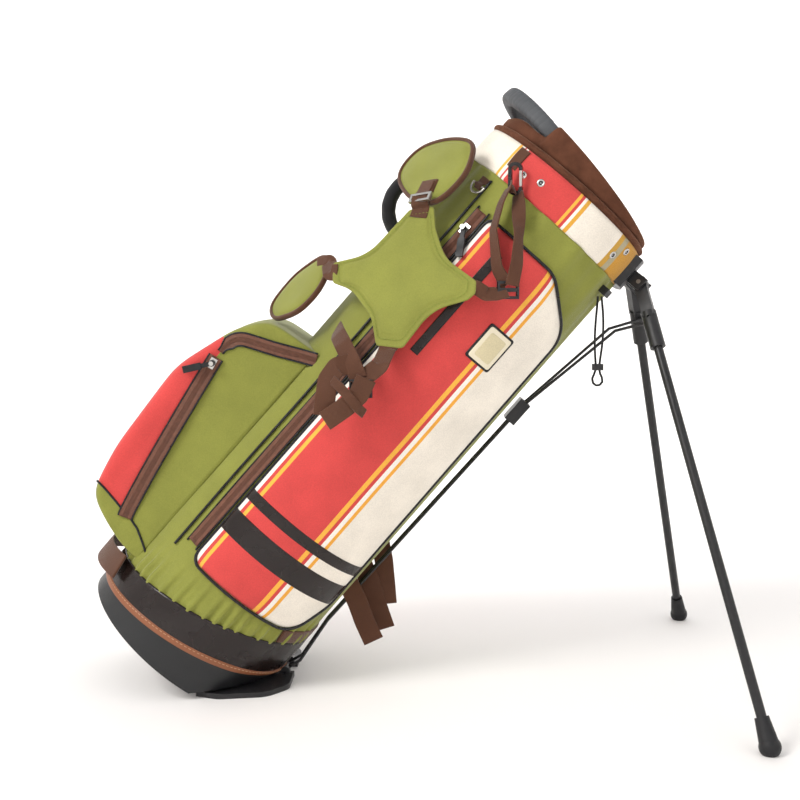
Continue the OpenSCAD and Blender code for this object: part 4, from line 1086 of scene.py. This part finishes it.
strap("spare_end_a", [(122, -13, 180), (150, -14, 168), (178, -12, 152), (205, -13, 140)], 28,
      [(0, 1, 0), (0.1, 1, 0.05), (-0.05, 1, 0)], 1.6, stands_for="strap_tails")
strap("spare_end_b", [(124, 13, 206), (152, 14, 192), (180, 11, 174), (209, 13, 157)], 28,
      [(0, 1, 0), (-0.12, 1, 0), (0.06, 1, 0)], 1.6)
strap("spare_end_c", [(122, 17, 246), (145, 18, 228), (168, 15, 206), (189, 17, 185)], 26,
      [(0, 1, 0), (0.1, 1, 0), (-0.1, 1, 0)], 1.6)

# ---- Small fittings: hook, ring, tabs, slides, rivets
# A black hook with a sprung nickel gate hangs from a webbing tab on the collar. A nickel ring lies in its own
# tab. Domed rivets with dark centres fix the collar.

paint_node("strap_slides", black_plastic)
paint_node("carabiner", hard("black_enamel", "#131315", 0.25, metal=0.4, coat=0.6, edge=0.0008))
paint_node("carabiner_gate", nickel)
paint_node("d_ring", nickel)
a = math.radians(-126)
t = np.linspace(731, 760, 24)
r = 127.6 + 1.2 * np.sin(math.pi * (t - 731) / 29)
webbing("hook_tab", polar(r, a, t), radial(np.full(24, a)), 16, 2.2, "hanger_tab")
a = math.radians(-134.3)
t = np.linspace(685, 703, 24)
bump_out = 4.6 * np.exp(-((t - (BODY_TOP - 22.7)) / 3.6) ** 2)
r = body_r(t) + 1.4 + bump_out
webbing("ring_tab", polar(r, a, t), radial(np.full(24, a)), 15, 2.0, "d_ring_tab")
rivet_at = [(117, 733), (106, 739.4), (44, 735), (36, 750.4)]
b = full_turn(32)
dome = np.array([(5.0, 0.0), (5.2, 1.0), (4.9, 1.9), (4.1, 2.5), (3.2, 2.6), (2.6, 2.2), (2.4, 1.7), (0.8, 1.6)])
for side, tag in SIDES:
    for i, (phi, t0) in enumerate(rivet_at):
        a = side * math.radians(phi)
        out = radial(a)
        x, z = dome[:, 0][:, None] * np.cos(b), dome[:, 0][:, None] * np.sin(b)
        base = bag(126.9 * math.cos(a), 126.9 * math.sin(a), t0)
        tangent = np.cross(axis_up, out)
        P = base + (x[..., None] * tangent + z[..., None] * axis_up + dome[:, 1][:, None, None] * out) / 1000
        UV = np.zeros((P.shape[0], P.shape[1] + 1, 2))
        rivet = grid("rivet_%s_%d" % (tag, i), P, UV, around=True, ends=True, materials=[nickel, black_plastic],
                     which=np.where(np.arange(8)[:, None] + 0 * x > 4.5, 1, 0))
        sewn(rivet, "rivets" if side < 0 and i == 0 else None)

# ---- Elastic cord: the thin loop that holds the folded legs
# Black braided elastic, both strands through a small lock, hanging from an anchor on the body.

cord_m = cloth("braided_elastic", [(0, "#151517")], pitch=1.4, weave=0.25, crease=0.0, rough=0.55, sheen=0.1)
cord_points = np.array([
    [537, -67, 519], [536.4, -67.4, 510], [535.6, -67.8, 500], [534.8, -68, 490], [534.2, -68.2, 480],
    [533.8, -68.2, 470], [533.8, -68, 460], [534.2, -67.8, 450], [534.8, -67.4, 441], [535.6, -67, 432],
    [535.6, -66.8, 425], [533.6, -66.8, 419], [531.4, -66.9, 413.4], [532.6, -67, 408], [536.4, -67.1, 404.8],
    [541.2, -67.1, 405.4], [544.4, -67, 409.4], [543.8, -66.9, 415], [541.4, -66.8, 420], [540.4, -66.8, 425],
    [540.4, -67, 432], [541.4, -67.2, 441], [542.6, -67.4, 450], [543.6, -67.6, 460], [544.2, -67.6, 470],
    [544.4, -67.4, 480], [544.2, -67.2, 490], [543.6, -67, 500], [542.6, -66.6, 510], [541.6, -66.4, 519]])
cord_line = (spaced(cord_points, 160, closed=False) + [CENTRE_X, 0, 0]) / 1000
cord_tube = tube("elastic_loop", cord_line, 1.5, np.tile([0.0, -1.0, 0.0], (160, 1)), [cord_m])
sewn(cord_tube, "elastic_cord")
paint_node("cord_lock", black_plastic)
paint_node("cord_anchor", black_plastic)

# ---- Stand: heel plate, actuator, bracket, wires, legs and feet
# Black-painted steel rods and tubes with moulded joints and ribbed rubber feet. Pushing the heel plate sends
# the actuator up, and the wires swing the legs out.

steel_paint = hard("black_painted_steel", "#161618", 0.38, metal=0.2, grain=0.0002, coat=0.2)
pin_steel = hard("pin_steel", "#8d8d8c", 0.3, metal=1.0)
for node in ("heel_plate", "leg_bracket", "knuckle_left", "knuckle_right"):
    paint_node(node, black_plastic)
for node in ("actuator", "wire_left", "wire_right", "leg_tube_left", "leg_tube_right"):
    paint_node(node, steel_paint)
for node in ("heel_pin", "hinge_pins"):
    paint_node(node, pin_steel)
for node in ("foot_left", "foot_right"):
    paint_node(node, black_rubber)

# ---- Inside: the moulded top frame, stays, floor pad and divider
# Dark moulded plastic frame, glass-fibre stays, a foam floor and a cloth partition.

paint_node("top_frame", black_plastic)
paint_node("grip_core", steel_paint)
paint_node("spine_stays", black_plastic)
paint_node("floor_pad", rubber("grey_foam", "#5a5a5c", 0.9))
paint_node("club_divider", rubber("divider_cloth", "#3a2a22", 0.9))
